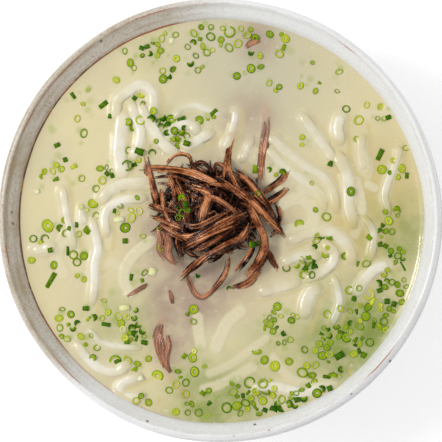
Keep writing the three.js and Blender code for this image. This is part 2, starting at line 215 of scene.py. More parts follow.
def solid(colour):
    """A colour of three numbers with full alpha; a wire stays as it is."""
    return colour if isinstance(colour, Wire) else (*tuple(colour)[:3], 1.0)


class Finish(Tree):
    """A material on one Principled shader."""

    def __init__(self, name, **constants):
        material = bpy.data.materials.new(name)
        material.use_nodes = True
        super().__init__(material.node_tree)
        self.material = material
        self.shader = material.node_tree.nodes["Principled BSDF"]
        for socket, value in constants.items():
            self.shader.inputs[socket.replace("_", " ")].default_value = value

    def feed(self, socket, wire):
        self.tree.links.new(wire.socket, self.shader.inputs[socket])

    def place(self):
        return self.add("ShaderNodeTexCoord", output=3)

    def attribute(self, name):
        return self.add("ShaderNodeAttribute", {"attribute_name": name}, output=2)

    def bump(self, height, depth, strength=1.0):
        """Relief of a depth in metres feeds the Normal."""
        self.feed("Normal", self.add(
            "ShaderNodeBump", None, {"Height": height, "Distance": depth, "Strength": strength}))


def near(tree, place, centre, reach, core):
    """1 round a centre as far as its core, falling to 0 at its reach; all are in millimetres."""
    away = tree.vector("DISTANCE", tree.vector("MULTIPLY", place, (1, 1, 0)),
                       (centre[0] * MM, centre[1] * MM, 0), output=1)
    return tree.between(away, core * MM, reach * MM, 1.0, 0.0)


# ------------------------------------------------------------------ meshes
def placed(name, data):
    """A new object of a mesh, a light or a camera, in the scene."""
    thing = bpy.data.objects.new(name, data)
    bpy.context.scene.collection.objects.link(thing)
    return thing


def carry(mesh, label, values, kind="FLOAT"):
    """Writes one value for each vertex of a mesh as an attribute."""
    layer = mesh.attributes.new(label, kind, "POINT")
    flat = np.asarray(values, np.int32 if kind == "INT" else np.float32).ravel()
    layer.data.foreach_set("vector" if kind == "FLOAT_VECTOR" else "value", flat)


def piece_from(name, vertices, faces, material, attributes):
    """A named piece from rows of vertices, lists of corners and values for each vertex."""
    mesh = bpy.data.meshes.new(name)
    mesh.from_pydata([tuple(map(float, v)) for v in vertices], [], [tuple(map(int, f)) for f in faces])
    for label, values in attributes.items():
        carry(mesh, label, values)
    mesh.validate()
    return finished(name, mesh, material)


def finished(name, mesh, material):
    """Puts a mesh in the scene as a piece of its own, smooth, with its material and body."""
    piece = placed(name, mesh)
    mesh.materials.clear()
    mesh.materials.append(material)
    mesh.polygons.foreach_set("use_smooth", [True] * len(mesh.polygons))
    mesh.update()
    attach(piece, BODY)
    return piece


def grid_faces(rows, columns, wrap):
    """Quads between rows of points; wrap closes each row on itself."""
    first = np.arange(rows - 1)[:, None] * columns
    along = np.arange(columns if wrap else columns - 1)
    here = first + along
    beside = first + (along + 1) % columns
    return np.stack([here, beside, beside + columns, here + columns], -1).reshape(-1, 4)


def fan(middle, ring):
    """Triangles from a middle vertex to each side of a closed ring, in the ring's order."""
    ring = list(ring)
    return [(middle, here, beside) for here, beside in zip(ring, ring[1:] + ring[:1])]


def smooth_route(points, step):
    """Points about a step apart on a Catmull-Rom curve through the given ones."""
    points = np.asarray(points, float)
    ends = np.vstack([2 * points[0] - points[1], points, 2 * points[-1] - points[-2]])
    route = []
    for a, b, c, d in zip(ends, ends[1:], ends[2:], ends[3:]):
        count = max(2, int(round(np.linalg.norm(c - b) / step)))
        for t in np.arange(count) / count:
            route.append(0.5 * (2 * b + (c - a) * t + (2 * a - 5 * b + 4 * c - d) * t ** 2
                                + (3 * b - a - 3 * c + d) * t ** 3))
    route.append(points[-1])
    return np.array(route)


def waves(rng, count, reach):
    """Smooth uneven values along a strip: a sum of a few sine waves, at most about 1."""
    along = np.linspace(0, 1, count) * reach
    total = np.zeros(count)
    for weight, pitch in ((0.6, 1.0), (0.3, 2.3), (0.2, 4.1)):
        total += weight * np.sin(along * pitch * (0.8 + 0.4 * rng.random()) + rng.random() * WHOLE_TURN)
    return total


class Strand:
    """One strip to be swept: its middle line, and what holds at every point of it."""

    run_step = 0.8 * MM      # how far the grain runs on from point to point
    run_shift = 7.3          # sets one strand's grain off against the next one's

    def __init__(self, route, half_width, half_thick, turn=0.0, shade=0.5, film=0.0):
        self.route = np.asarray(route, float)
        count = len(self.route)
        labels = ("half_width", "half_thick", "turn", "shade", "film")
        self.values = {label: np.broadcast_to(np.asarray(value, float), (count,))
                       for label, value in zip(labels, (half_width, half_thick, turn, shade, film))}
        self.values["run"] = np.arange(count) * self.run_step + (self.route[0].sum() * self.run_shift) % 1.0


def strand_lines(name, strands):
    """The strands' middle lines as one object of edges that carries their sizes."""
    edges = []
    start = 0
    for strand in strands:
        edges += [(i, i + 1) for i in range(start, start + len(strand.route) - 1)]
        start += len(strand.route)
    mesh = bpy.data.meshes.new(name)
    mesh.from_pydata([tuple(v) for v in np.vstack([s.route for s in strands])], edges, [])
    for label in strands[0].values:
        carry(mesh, label, np.concatenate([s.values[label] for s in strands]))
    return placed(name, mesh)


# ------------------------------------------------------------------ Geometry Nodes
def new_tree(name, inputs):
    """An empty tree with a Geometry input, the named inputs and a Geometry output."""
    group = bpy.data.node_groups.new(name, "GeometryNodeTree")
    group.interface.new_socket("Geometry", in_out="INPUT", socket_type="NodeSocketGeometry")
    for label, kind, value in inputs:
        socket = group.interface.new_socket(label, in_out="INPUT", socket_type=kind)
        if value is not None:
            socket.default_value = value
    group.interface.new_socket("Geometry", in_out="OUTPUT", socket_type="NodeSocketGeometry")
    tree = Tree(group)
    tree.given = tree.add("NodeGroupInput")
    tree.names = ["Geometry"] + [label for label, _, _ in inputs]
    return tree


def given(tree, label):
    return tree.given.also(tree.names.index(label))


def named(tree, label, kind="FLOAT"):
    return tree.add("GeometryNodeInputNamedAttribute", {"data_type": kind}, {"Name": label})


def store(tree, geometry, label, value, kind="FLOAT"):
    return tree.add("GeometryNodeStoreNamedAttribute", {"data_type": kind, "domain": "POINT"},
                    {"Geometry": geometry, "Name": label, "Value": value})


def ripple(tree, geometry):
    """Pushes a surface in and out along its normal by an uneven amount."""
    place = tree.add("GeometryNodeInputPosition")
    rough = tree.noise(place, 1.0 / given(tree, "Ripple Size"), 2.0)
    push = tree.vector("SCALE", tree.add("GeometryNodeInputNormal"), (rough - 0.5) * given(tree, "Ripple"))
    return tree.add("GeometryNodeSetPosition", None, {"Geometry": geometry, "Offset": push})


def close_tree(tree, geometry):
    """Ends a tree: smooth, of real mesh, in its material."""
    geometry = tree.add("GeometryNodeSetShadeSmooth", None, {"Geometry": geometry})
    geometry = tree.add("GeometryNodeRealizeInstances", None, {"Geometry": geometry})
    geometry = tree.add("GeometryNodeSetMaterial", None,
                        {"Geometry": geometry, "Material": given(tree, "Material")})
    tree.add("NodeGroupOutput", None, {0: geometry})
    return tree.tree


SECTION_RADIUS = 1 * MM


def sweep_tree():
    """Sweeps a rounded section along edges, as wide, thick and turned as their points say."""
    tree = new_tree("strands along lines", [
        ("Sides", "NodeSocketInt", 12),
        ("Squareness", "NodeSocketFloat", 1.0),
        ("Ripple", "NodeSocketFloat", 0.0),
        ("Ripple Size", "NodeSocketFloat", 2 * MM),
        ("Material", "NodeSocketMaterial", None),
    ])
    curve = tree.add("GeometryNodeMeshToCurve", None, {"Mesh": given(tree, "Geometry")})
    curve = store(tree, curve, "middle", tree.add("GeometryNodeInputPosition"), "FLOAT_VECTOR")
    curve = store(tree, curve, "along", tree.add("GeometryNodeInputTangent"), "FLOAT_VECTOR")
    section = tree.add("GeometryNodeCurvePrimitiveCircle", {"mode": "RADIUS"},
                       {"Resolution": given(tree, "Sides"), "Radius": SECTION_RADIUS})
    section = store(tree, section, "section",
                    tree.vector("SCALE", tree.add("GeometryNodeInputPosition"), 1 / SECTION_RADIUS),
                    "FLOAT_VECTOR")
    mesh = tree.add("GeometryNodeCurveToMesh", None,
                    {"Curve": curve, "Profile Curve": section, "Fill Caps": True})
    along = named(tree, "along", "FLOAT_VECTOR")
    level = tree.vector("NORMALIZE", tree.vector("CROSS_PRODUCT", along, (0, 0, 1)))
    over = tree.vector("CROSS_PRODUCT", level, along)
    turn = named(tree, "turn")
    cosine = tree.maths("COSINE", turn)
    sine = tree.maths("SINE", turn)
    across = tree.vector("ADD", tree.vector("SCALE", level, cosine), tree.vector("SCALE", over, sine))
    upward = tree.vector("SUBTRACT", tree.vector("SCALE", over, cosine), tree.vector("SCALE", level, sine))
    x, y, _ = tree.parts(named(tree, "section", "FLOAT_VECTOR"))
    power = given(tree, "Squareness")
    wide = x.sign() * abs(x) ** power * named(tree, "half_width")
    thick = y.sign() * abs(y) ** power * named(tree, "half_thick")
    place = tree.vector("ADD", named(tree, "middle", "FLOAT_VECTOR"),
                        tree.vector("ADD", tree.vector("SCALE", across, wide),
                                    tree.vector("SCALE", upward, thick)))
    mesh = tree.add("GeometryNodeSetPosition", None, {"Geometry": mesh, "Position": place})
    # a sweep with this section faces inwards, so it is turned last
    return close_tree(tree, tree.add("GeometryNodeFlipFaces", None, {"Mesh": ripple(tree, mesh)}))


def hollow(tree, radius, wall, height):
    """A closed ring of a share of the radius, which knows how far out each of its points lies."""
    outline = tree.add("GeometryNodeCurvePrimitiveCircle", {"mode": "RADIUS"},
                       {"Resolution": given(tree, "Sides"), "Radius": (1.0 - wall * 0.5) * radius})
    section = tree.add("GeometryNodeCurvePrimitiveQuadrilateral", {"mode": "RECTANGLE"},
                       {"Width": wall * radius, "Height": height})
    ring = tree.add("GeometryNodeCurveToMesh", None, {"Curve": outline, "Profile Curve": section})
    reach = tree.vector("LENGTH", tree.vector("MULTIPLY", tree.add("GeometryNodeInputPosition"), (1, 1, 0)),
                        output=1)
    return store(tree, ring, "outward", reach)


# the closed slices, in shares of a slice's radius
THICK_WALL = 0.68
INNER_RADIUS = 0.66
INNER_WALL = 0.6
INNER_HEIGHT = 0.8


def slice_tree():
    """Puts a slice of stalk on every point, of the kind, size and turn that the point says."""
    tree = new_tree("slices on points", [
        ("Sides", "NodeSocketInt", 14),
        ("Wall", "NodeSocketFloat", 0.3),
        ("Ripple", "NodeSocketFloat", 0.0),
        ("Ripple Size", "NodeSocketFloat", 2 * MM),
        ("Material", "NodeSocketMaterial", None),
    ])
    wall = given(tree, "Wall")
    thin = hollow(tree, 1.0, wall, 1.0)
    thick = hollow(tree, 1.0, THICK_WALL, INNER_HEIGHT)
    nested = tree.add("GeometryNodeJoinGeometry", None, {0: hollow(tree, 1.0, wall, 1.0)})
    inner = hollow(tree, INNER_RADIUS, INNER_WALL, INNER_HEIGHT)
    tree.tree.links.new(inner.socket, nested.owner.inputs[0])
    kinds = tree.add("GeometryNodeJoinGeometry")
    for kind in (nested, thick, thin):              # the last one joined is number 0
        kind = tree.add("GeometryNodeGeometryToInstance", None, {0: kind})
        tree.tree.links.new(kind.socket, kinds.owner.inputs[0])
    ring = tree.add("GeometryNodeInstanceOnPoints", None, {
        "Points": tree.add("GeometryNodeMeshToPoints", None, {"Mesh": given(tree, "Geometry")}),
        "Instance": kinds,
        "Pick Instance": True,
        "Instance Index": named(tree, "kind", "INT"),
        "Rotation": tree.add("FunctionNodeEulerToRotation", None, {0: named(tree, "lean", "FLOAT_VECTOR")}),
        "Scale": named(tree, "size", "FLOAT_VECTOR"),
    })
    whole = tree.add("GeometryNodeRealizeInstances", None, {"Geometry": ring})
    return close_tree(tree, ripple(tree, whole))


def grown(source, tree, name, material, slot, **inputs):
    """Runs a tree on an object, keeps the result as a plain mesh piece and drops the object."""
    modifier = source.modifiers.new("tree", "NODES")
    modifier.node_group = tree
    inputs["Material"] = material
    for item in tree.interface.items_tree:
        if item.in_out == "INPUT" and item.name in inputs:
            modifier[item.identifier] = inputs[item.name]
    source.update_tag()
    evaluated = source.evaluated_get(bpy.context.evaluated_depsgraph_get())
    mesh = bpy.data.meshes.new_from_object(evaluated)
    mesh.name = name
    source.modifiers.remove(modifier)
    bpy.data.objects.remove(source)
    return finished(name, mesh, material)


# ------------------------------------------------------------------ sizes and colours
def tint(red, green, blue):
    """A screen colour, each part from 0 to 255, as the linear colour that a shader takes."""
    return tuple(((c / 255 + 0.055) / 1.055) ** 2.4 if c > 10 else c / 255 / 12.92
                 for c in (red, green, blue))


def size_of(name, description, value):
    return FloatProperty(name=name, description=description, default=value, min=0.0, unit="LENGTH")


def share_of(name, description, value):
    return FloatProperty(name=name, description=description, default=value, min=0.0, subtype="FACTOR")


def colour_of(name, description, red, green, blue):
    return FloatVectorProperty(name=name, description=description, size=3, min=0.0, max=1.0,
                               subtype="COLOR", default=tint(red, green, blue))


class BowlSettings(bpy.types.PropertyGroup):
    """The stoneware bowl."""
    wobble: size_of("Wobble", "How far the rim strays from a true circle", 0.25 * MM)
    throwing: size_of("Throwing rings", "Height of the rings that the potter's fingers left", 0.12 * MM)
    glaze: colour_of("Glaze", "Thick, clean glaze", 229, 230, 230)
    thin_glaze: colour_of("Thin glaze", "Glaze where the clay greys it", 164, 150, 122)
    edge: colour_of("Edges", "Where the glaze breaks on an edge", 164, 88, 44)
    dark_edge: colour_of("Dark edges", "The same where it is darkest", 92, 44, 32)
    clay: colour_of("Clay", "Bare clay on the foot", 150, 118, 92)


class BrothSettings(bpy.types.PropertyGroup):
    """The milky broth."""
    cells: IntProperty(name="Cells", description="Cells across its surface", default=270, min=40,
                       subtype="UNSIGNED")
    swell: size_of("Swell", "How far the surface lifts over noodles just under it", 0.35 * MM)
    creep: size_of("Creep", "How far the broth climbs what stands in it", 0.55 * MM)
    cream: colour_of("Cream", "The broth by itself", 211, 199, 156)
    cool: colour_of("Cool", "Thin milky broth at the back", 186, 180, 154)
    # warm is also the tint of the painted shade beside the noodles
    warm: colour_of("Warm", "Broth with a film of fat", 196, 176, 110)
    # the broth round the beef: a meat tint with painted shade
    meaty_and_shaded: colour_of("Meaty", "Broth round the beef", 166, 143, 124)
    herbal: colour_of("Herbal", "Broth over sunken scallion", 110, 130, 14)


class NoodleSettings(bpy.types.PropertyGroup):
    """The noodles."""
    thickness: size_of("Thickness", "From the top to the underside of a noodle", 3.6 * MM)
    dive: size_of("Dive", "How far a noodle's end runs on under the broth", 9 * MM)
    dough: colour_of("Dough", "Cooked noodle", 212, 203, 170)
    core: colour_of("Core", "Denser stretches of noodle", 226, 222, 208)


class BeefSettings(bpy.types.PropertyGroup):
    """The shredded beef."""
    fibre: size_of("Fibre", "Radius of one bundle of fibres", 0.34 * MM)
    rise: size_of("Rise", "Height of the heap over the broth", 12 * MM)
    # light and dark also give the painted light on top fibres and the painted shade deep in the heap
    light: colour_of("Light", "Dry outer fibres", 212, 139, 85)
    brown: colour_of("Brown", "Braised meat", 120, 58, 25)
    dark: colour_of("Dark", "Meat deep in the heap", 12, 4, 2)
    soaked: colour_of("Soaked", "Meat under a film of broth", 188, 140, 116)


class ScallionSettings(bpy.types.PropertyGroup):
    """The sliced scallion."""
    wall: share_of("Wall", "Thickness of a slice's wall, as a share of its radius", 0.32)
    leaf: colour_of("Leaf", "Dark outer leaf", 44, 92, 0)
    fresh: colour_of("Fresh", "Yellow-green leaf", 130, 160, 0)
    pale: colour_of("Pale", "Pale stalk", 202, 205, 58)
    white: colour_of("White", "White stalk", 230, 230, 218)


class StageSettings(bpy.types.PropertyGroup):
    """The floor, the light and the camera."""
    camera_height: size_of("Camera height", "Height of the camera over the bowl's widest part", 650 * MM)
    floor: colour_of("Floor", "Pale floor", 246, 246, 246)
    key: FloatProperty(name="Key", description="Power of the big soft light", default=2.5, unit="POWER")
    spark: FloatProperty(name="Spark", description="Power of the small light that makes wet glints",
                         default=3.6, unit="POWER")
    fill: share_of("Fill", "Strength of the light from all round", 0.78)


class SoupSettings(bpy.types.PropertyGroup):
    """All that can be changed."""
    bowl: PointerProperty(type=BowlSettings)
    broth: PointerProperty(type=BrothSettings)
    noodles: PointerProperty(type=NoodleSettings)
    beef: PointerProperty(type=BeefSettings)
    scallion: PointerProperty(type=ScallionSettings)
    stage: PointerProperty(type=StageSettings)


# ------------------------------------------------------------------ where things lie, in millimetres
# path of the middle, width (or its width at both ends), height of the top over the broth,
# which ends are cut ones that stay in view, while the others go on under the broth
NOODLES = [
    ([(-48, 48.5), (-47, 55), (-42.5, 59), (-36.5, 62), (-31.5, 59), (-30.5, 54), (-31, 49)], 5, 2.4, None),
    ([(-44.5, 48), (-46, 35.5), (-46, 28), (-45, 21)], 6.4, 2.2, None),
    ([(-40.5, 52), (-38.5, 47), (-36.5, 41), (-37.5, 34), (-40, 30)], 4.6, 2.6, None),
    ([(-36, 51), (-31, 42), (-27, 36), (-21.5, 31)], 5, 2.8, None),
    ([(-20.5, 47.5), (-17.5, 51), (-12, 52.5), (-7, 51), (1.5, 48)], 3.7, 0.8, None),
    ([(-24, 38), (-22, 41.5), (-18, 43.5), (-13.5, 43.5), (-11, 41)], 4.6, 2.5, None),
    ([(-16.5, 34), (-12.5, 35.5), (-9, 38), (-5, 40)], 5, 2.1, None),
    ([(6.5, 51), (6.3, 46), (4.5, 40), (2, 33)], 3.7, 1.4, "start"),
    ([(14, 36.5), (12, 32), (10, 28)], 3.7, 1.5, None),
    ([(23.5, 37.5), (31.5, 30), (40, 24), (46.5, 20), (50.8, 14), (52.2, 6)], 4.8, 2.2, None),
    ([(22.5, 32), (27.5, 26), (36.5, 19), (43.5, 13.5), (46.6, 7)], 4.8, 2.0, None),
    ([(37.5, 47), (43.5, 39), (48.5, 32), (51, 28)], 4.8, 2.1, None),
    ([(53.5, 29), (57, 22.5), (58, 14.5), (58.5, 6), (60.5, -1)], 5.7, 2.6, None),
    ([(54.5, 48), (53, 42.5), (54, 37)], 5.3, 2.3, "start"),
    ([(64, 38), (64, 31), (65.5, 23)], 5, 1.1, "end"),
    ([(80.5, 33), (80, 28), (76.5, 19), (74.5, 11.5), (76, 4.5)], 3.7, 1.9, None),
    ([(32, -9), (38, -5.8), (46, -4.3), (53, -6.6), (58.4, -12.5), (59.3, -18)], 5.5, 2.0, None),
    ([(48, -11), (51.5, -14.5), (50.5, -19), (46, -23), (40, -26)], 4.6, 2.6, None),
    ([(29, -18.5), (34, -16.5), (39, -15.3), (43, -16)], 4.6, 1.9, None),
    ([(19, -32), (25, -30.5), (34, -28)], 5.3, 1.8, None),
    ([(44, -30.5), (41, -32.5), (39, -37), (38.5, -42)], 6, 2.3, None),
    ([(51.5, -26.5), (53, -31), (53.8, -38), (51, -45.5)], 3.9, 2.0, None),
    ([(66, 0.5), (69, -4), (69.5, -9), (68.5, -15.5)], 3.9, 2.3, None),
    ([(76.5, -20), (70.5, -21.7), (65.5, -26.5), (62, -32.5)], 5, 2.3, "start"),
    ([(16, -76), (23, -75.2), (30, -76.3), (38, -78.5), (46, -75), (54, -73.5)], 4.6, 2.1, None),
    ([(-58.5, -1), (-57, -7), (-56, -13), (-57.5, -20), (-57.5, -28), (-58.5, -36)], 4.4, 2.3, None),
    ([(-72, 14), (-71, 7), (-69.2, -2), (-67.4, -10)], 4.1, 2.1, None),
    ([(-86, -13), (-81, -13), (-76.5, -11.5)], 5.2, 1.8, "start"),
    ([(-63.8, 7.5), (-63.6, 3), (-62.9, -2)], (1.4, 6.4), 2.1, "both"),
    ([(-34, 17.5), (-43.5, 16.8), (-50, 14.3), (-54, 10)], 5.5, 2.4, None),
    ([(-35.5, 10.2), (-45, 9.5), (-51, 6), (-53, 1), (-52.5, -5)], 4.6, 2.1, None),
    ([(-59, -50.5), (-54.5, -55.3), (-47.5, -57), (-38, -57.8)], 3.4, 1.3, None),
    ([(-65.5, -56.5), (-61, -62.5), (-54.5, -67.3), (-47.5, -68.3), (-43, -65.5)], 5, 2.2, None),
    ([(-38, -71), (-43.5, -73), (-46.2, -76), (-44.5, -79.4), (-37, -80.4)], 4.6, 2.2, None),
]
# noodles that only show through the broth: path, width, depth of the top under the surface
SUNKEN_NOODLES = [
    ([(64.5, 31.5), (67, 28.5), (68, 24.5), (67, 20.5)], 3.7, 0.7),
    ([(28.5, 7.5), (34, 10), (39.5, 7.8), (42.5, 1.5), (41.5, -4)], 5.5, 0.25),
    ([(37.5, 14.5), (42.5, 13.5), (47, 11)], 5.5, 0.35),
    ([(61.5, 18), (63.4, 10), (64.2, 5)], 5, 0.3),
    ([(64.2, 5), (63.5, 0), (61, -6)], 4.5, 0.85),
    ([(27, -4), (33, -3), (38, -2)], 4, 0.5),
    ([(19.5, 26), (22.5, 20), (26, 15)], 4.5, 0.6),
    ([(15.5, 32.5), (14, 27.5)], 3.2, 0.6),
    ([(26, 25), (24, 22), (22, 19)], 3, 0.6),
    ([(-32, 36.5), (-35.5, 33)], 4, 0.9),
    ([(20.5, -53.5), (13, -59), (8, -63), (2, -66.5), (-5, -69.5)], 4, 0.7),
    ([(14.5, -66.5), (8, -70), (0.5, -74), (-7.5, -76.5)], 4.8, 0.65),
    ([(24, -62), (28.5, -68.5), (33.5, -72.5), (40, -74)], 4.1, 0.6),
    ([(9, -41), (3.5, -45.5), (0.5, -51.5), (-2, -57.5)], 5.6, 0.4),
    ([(-10.5, -44), (-10, -50), (-9, -56)], 5.3, 0.5),
    ([(-71, -7), (-75, -16), (-71.5, -24)], 5.5, 0.55),
    ([(-55.5, -21), (-49.5, -19), (-43.5, -22)], 4.6, 0.8),
    ([(-31.5, -9), (-38, -14), (-42.5, -20), (-44, -27), (-41.5, -32.5)], 5, 0.25),
    ([(66, 49), (71, 48), (77, 50)], 5.5, 0.8),
    ([(55, 56), (58, 54)], 5, 1.2),
    ([(67, 16.5), (70, 15)], 4, 0.4),
    ([(23, -9), (27, -10)], 4, 0.9),
    ([(28, -11), (29.5, -17)], 4, 0.9),
    ([(0, 40), (0.5, 35)], 3, 1.1),
]

# streaks of meat that only tint the broth: path, width
MEAT_SMEARS = [
    ([(-27.5, -45), (-26.5, -49), (-26.5, -56)], 4),
    ([(-25, -62), (-23.5, -70), (-19.5, -75), (-15.5, -80)], 3.4),
    ([(20.6, 40), (20.8, 47), (20.6, 51)], 4),
    ([(5.6, 38), (6.2, 44)], 3),
    ([(-29, -2), (-28, -10), (-24, -20)], 6),
    ([(-12, -30), (-17, -24), (-19, -18)], 2.6),
]

HEAP_CENTRE = (-3, -1)
HEAP_HALF = (31, 30)
CORE_CENTRE = (-6, 4)
CORE_HALF = (25, 23)
# path, width, height of the shred over the heap's own surface, and for some of them how far the
# broth veils their two ends
HEAP_SHREDS = [
    ([(-37.5, 23.5), (-28.5, 24), (-15.5, 22), (-6, 18.5), (0.5, 15)], 3.7, 1.6),
    ([(-34, 29), (-33, 21.5), (-31, 15), (-28.5, 6)], 3.9, 0.8),
    ([(-25, 25.5), (-20.5, 30), (-15, 29.5), (-13, 23)], 1.8, 0.4),
    ([(-13, 24), (-9.5, 26.5), (-6, 25), (-4.5, 22)], 1.8, 0.4),
    ([(-3.5, 22), (-2, 26), (1.5, 24), (1.5, 17)], 1.8, 0.6),
    ([(5.5, 38.5), (3.5, 31), (3, 24), (5.5, 17.5), (11.5, 8)], 3.9, 2.2),
    ([(11.5, 8), (17.5, -3), (19.5, -9.5), (18, -17), (11.5, -26)], 3.9, 2.2),
    ([(20.8, 47.5), (20.4, 42), (19.6, 36), (18.8, 30), (18.2, 23), (18, 16)], 4.1, 0.9, (1.15, 0.0)),
    ([(31.5, 23), (26, 17.5), (17.5, 12)], 4.3, 1.6),
    ([(30.5, 15), (25, 10.5), (17.5, 6)], 3.4, 0.6),
    ([(5, 23), (12, 18), (19.5, 9), (25.5, -1.5)], 3.4, 1.2),
    ([(-2, 19), (7, 13.5), (13, 9), (21, 1.5), (29.5, -7.5)], 3.4, 2.6),
    ([(11.5, 3), (3.5, -0.5), (-6, -5.5), (-18, -12.5)], 5, 2.4),
    ([(13, 0), (9.5, -7), (3, -10.5), (-6, -15.5), (-12.5, -20.5), (-18.5, -26)], 3.4, 2.0),
    ([(3, -12.5), (2.5, -22), (-2, -29.5), (-7.5, -34.5), (-11.5, -33.5), (-14.5, -28), (-16.5, -21)],
     2.6, 0.6, (0.0, 0.9)),
    ([(18.5, -22), (12, -28), (4, -30.5)], 3.4, 0.8),
    ([(20, -12), (23.5, -18), (26.5, -22.5)], 2.8, 0.6),
    ([(25, 8.5), (27, 2.5), (25, -4), (22, -7)], 1.6, 0.2),
    ([(-28.5, -3), (-27, -8), (-27.5, -13), (-25, -17.5)], 3, 0.7, (0.7, 0.9)),
    ([(-25.5, -4), (-23.5, -9.5), (-24, -14), (-21.5, -18.5), (-19.5, -19.5)], 3.4, 1.0, (0.5, 0.85)),
    ([(-27, 14), (-25, 4), (-20, -5)], 3.4, 1.2),
    ([(-33, 7.5), (-27, 5.5), (-20, 3.5)], 2.8, 1.0),
    ([(-31.5, 2.5), (-25, 0), (-17, -3)], 3, 1.6),
    ([(-28, -1.5), (-22, -5), (-15, -9)], 2.8, 1.3),
    ([(-13, 15.5), (-6, 12), (-8, 4), (-10, -2)], 4.2, 1.8),
    ([(-20, 17), (-16, 7), (-14, -3)], 4, 1.0),
    ([(-8, 12), (0, 9), (8, 3)], 2, 2.4),
    ([(-6, 16.5), (3, 15), (9, 11)], 1.8, 2.8),
    ([(-19, -1), (-11, -2), (-3, 1), (5, 5)], 2.4, 1.8),
    ([(-22, -6), (-13, -6.5), (-4, -2.5), (6, 3)], 2.2, 2.0),
    ([(-14, -14), (-5, -10), (4, -4), (10, 1.5)], 2.4, 1.4),
    ([(-12, -9.5), (-3, -5.5), (7, -1)], 1.6, 2.9),
    ([(9, 13), (16, 7), (23, -1)], 1.8, 3.0),
    ([(14, 12.5), (21, 5), (27, -5)], 1.6, 2.2),
    ([(-31, 20), (-22, 20.5), (-13, 17)], 2, 1.4),
    ([(-24, 22), (-21, 14), (-21, 6)], 2, 1.0),
    ([(15, -8), (13, -15), (7, -23)], 2.2, 1.4),
]
# for each node of the model: path, width
LOOSE_SHREDS = {
    "beef_shred_front": [
        ([(-27.2, -47), (-28.4, -51.5), (-28.4, -57), (-26.8, -62), (-25, -66.5)], 4.4),
        ([(-24.2, -52), (-23.8, -57), (-25, -62), (-24.4, -66), (-22.8, -68.8)], 3.2),
        ([(-26.6, -56), (-26.2, -60.5), (-24.8, -65)], 3),
    ],
    "beef_shred_back": [([(11.5, 79), (14, 81), (17.5, 82)], 2.8)],
    "beef_bit_left": [([(-42.5, -34.5), (-38, -31.5), (-33.5, -28.8)], 2.4)],
    "beef_bit_mid": [([(-23.5, -31.5), (-22.5, -34), (-22, -37.5)], 2.6)],
}

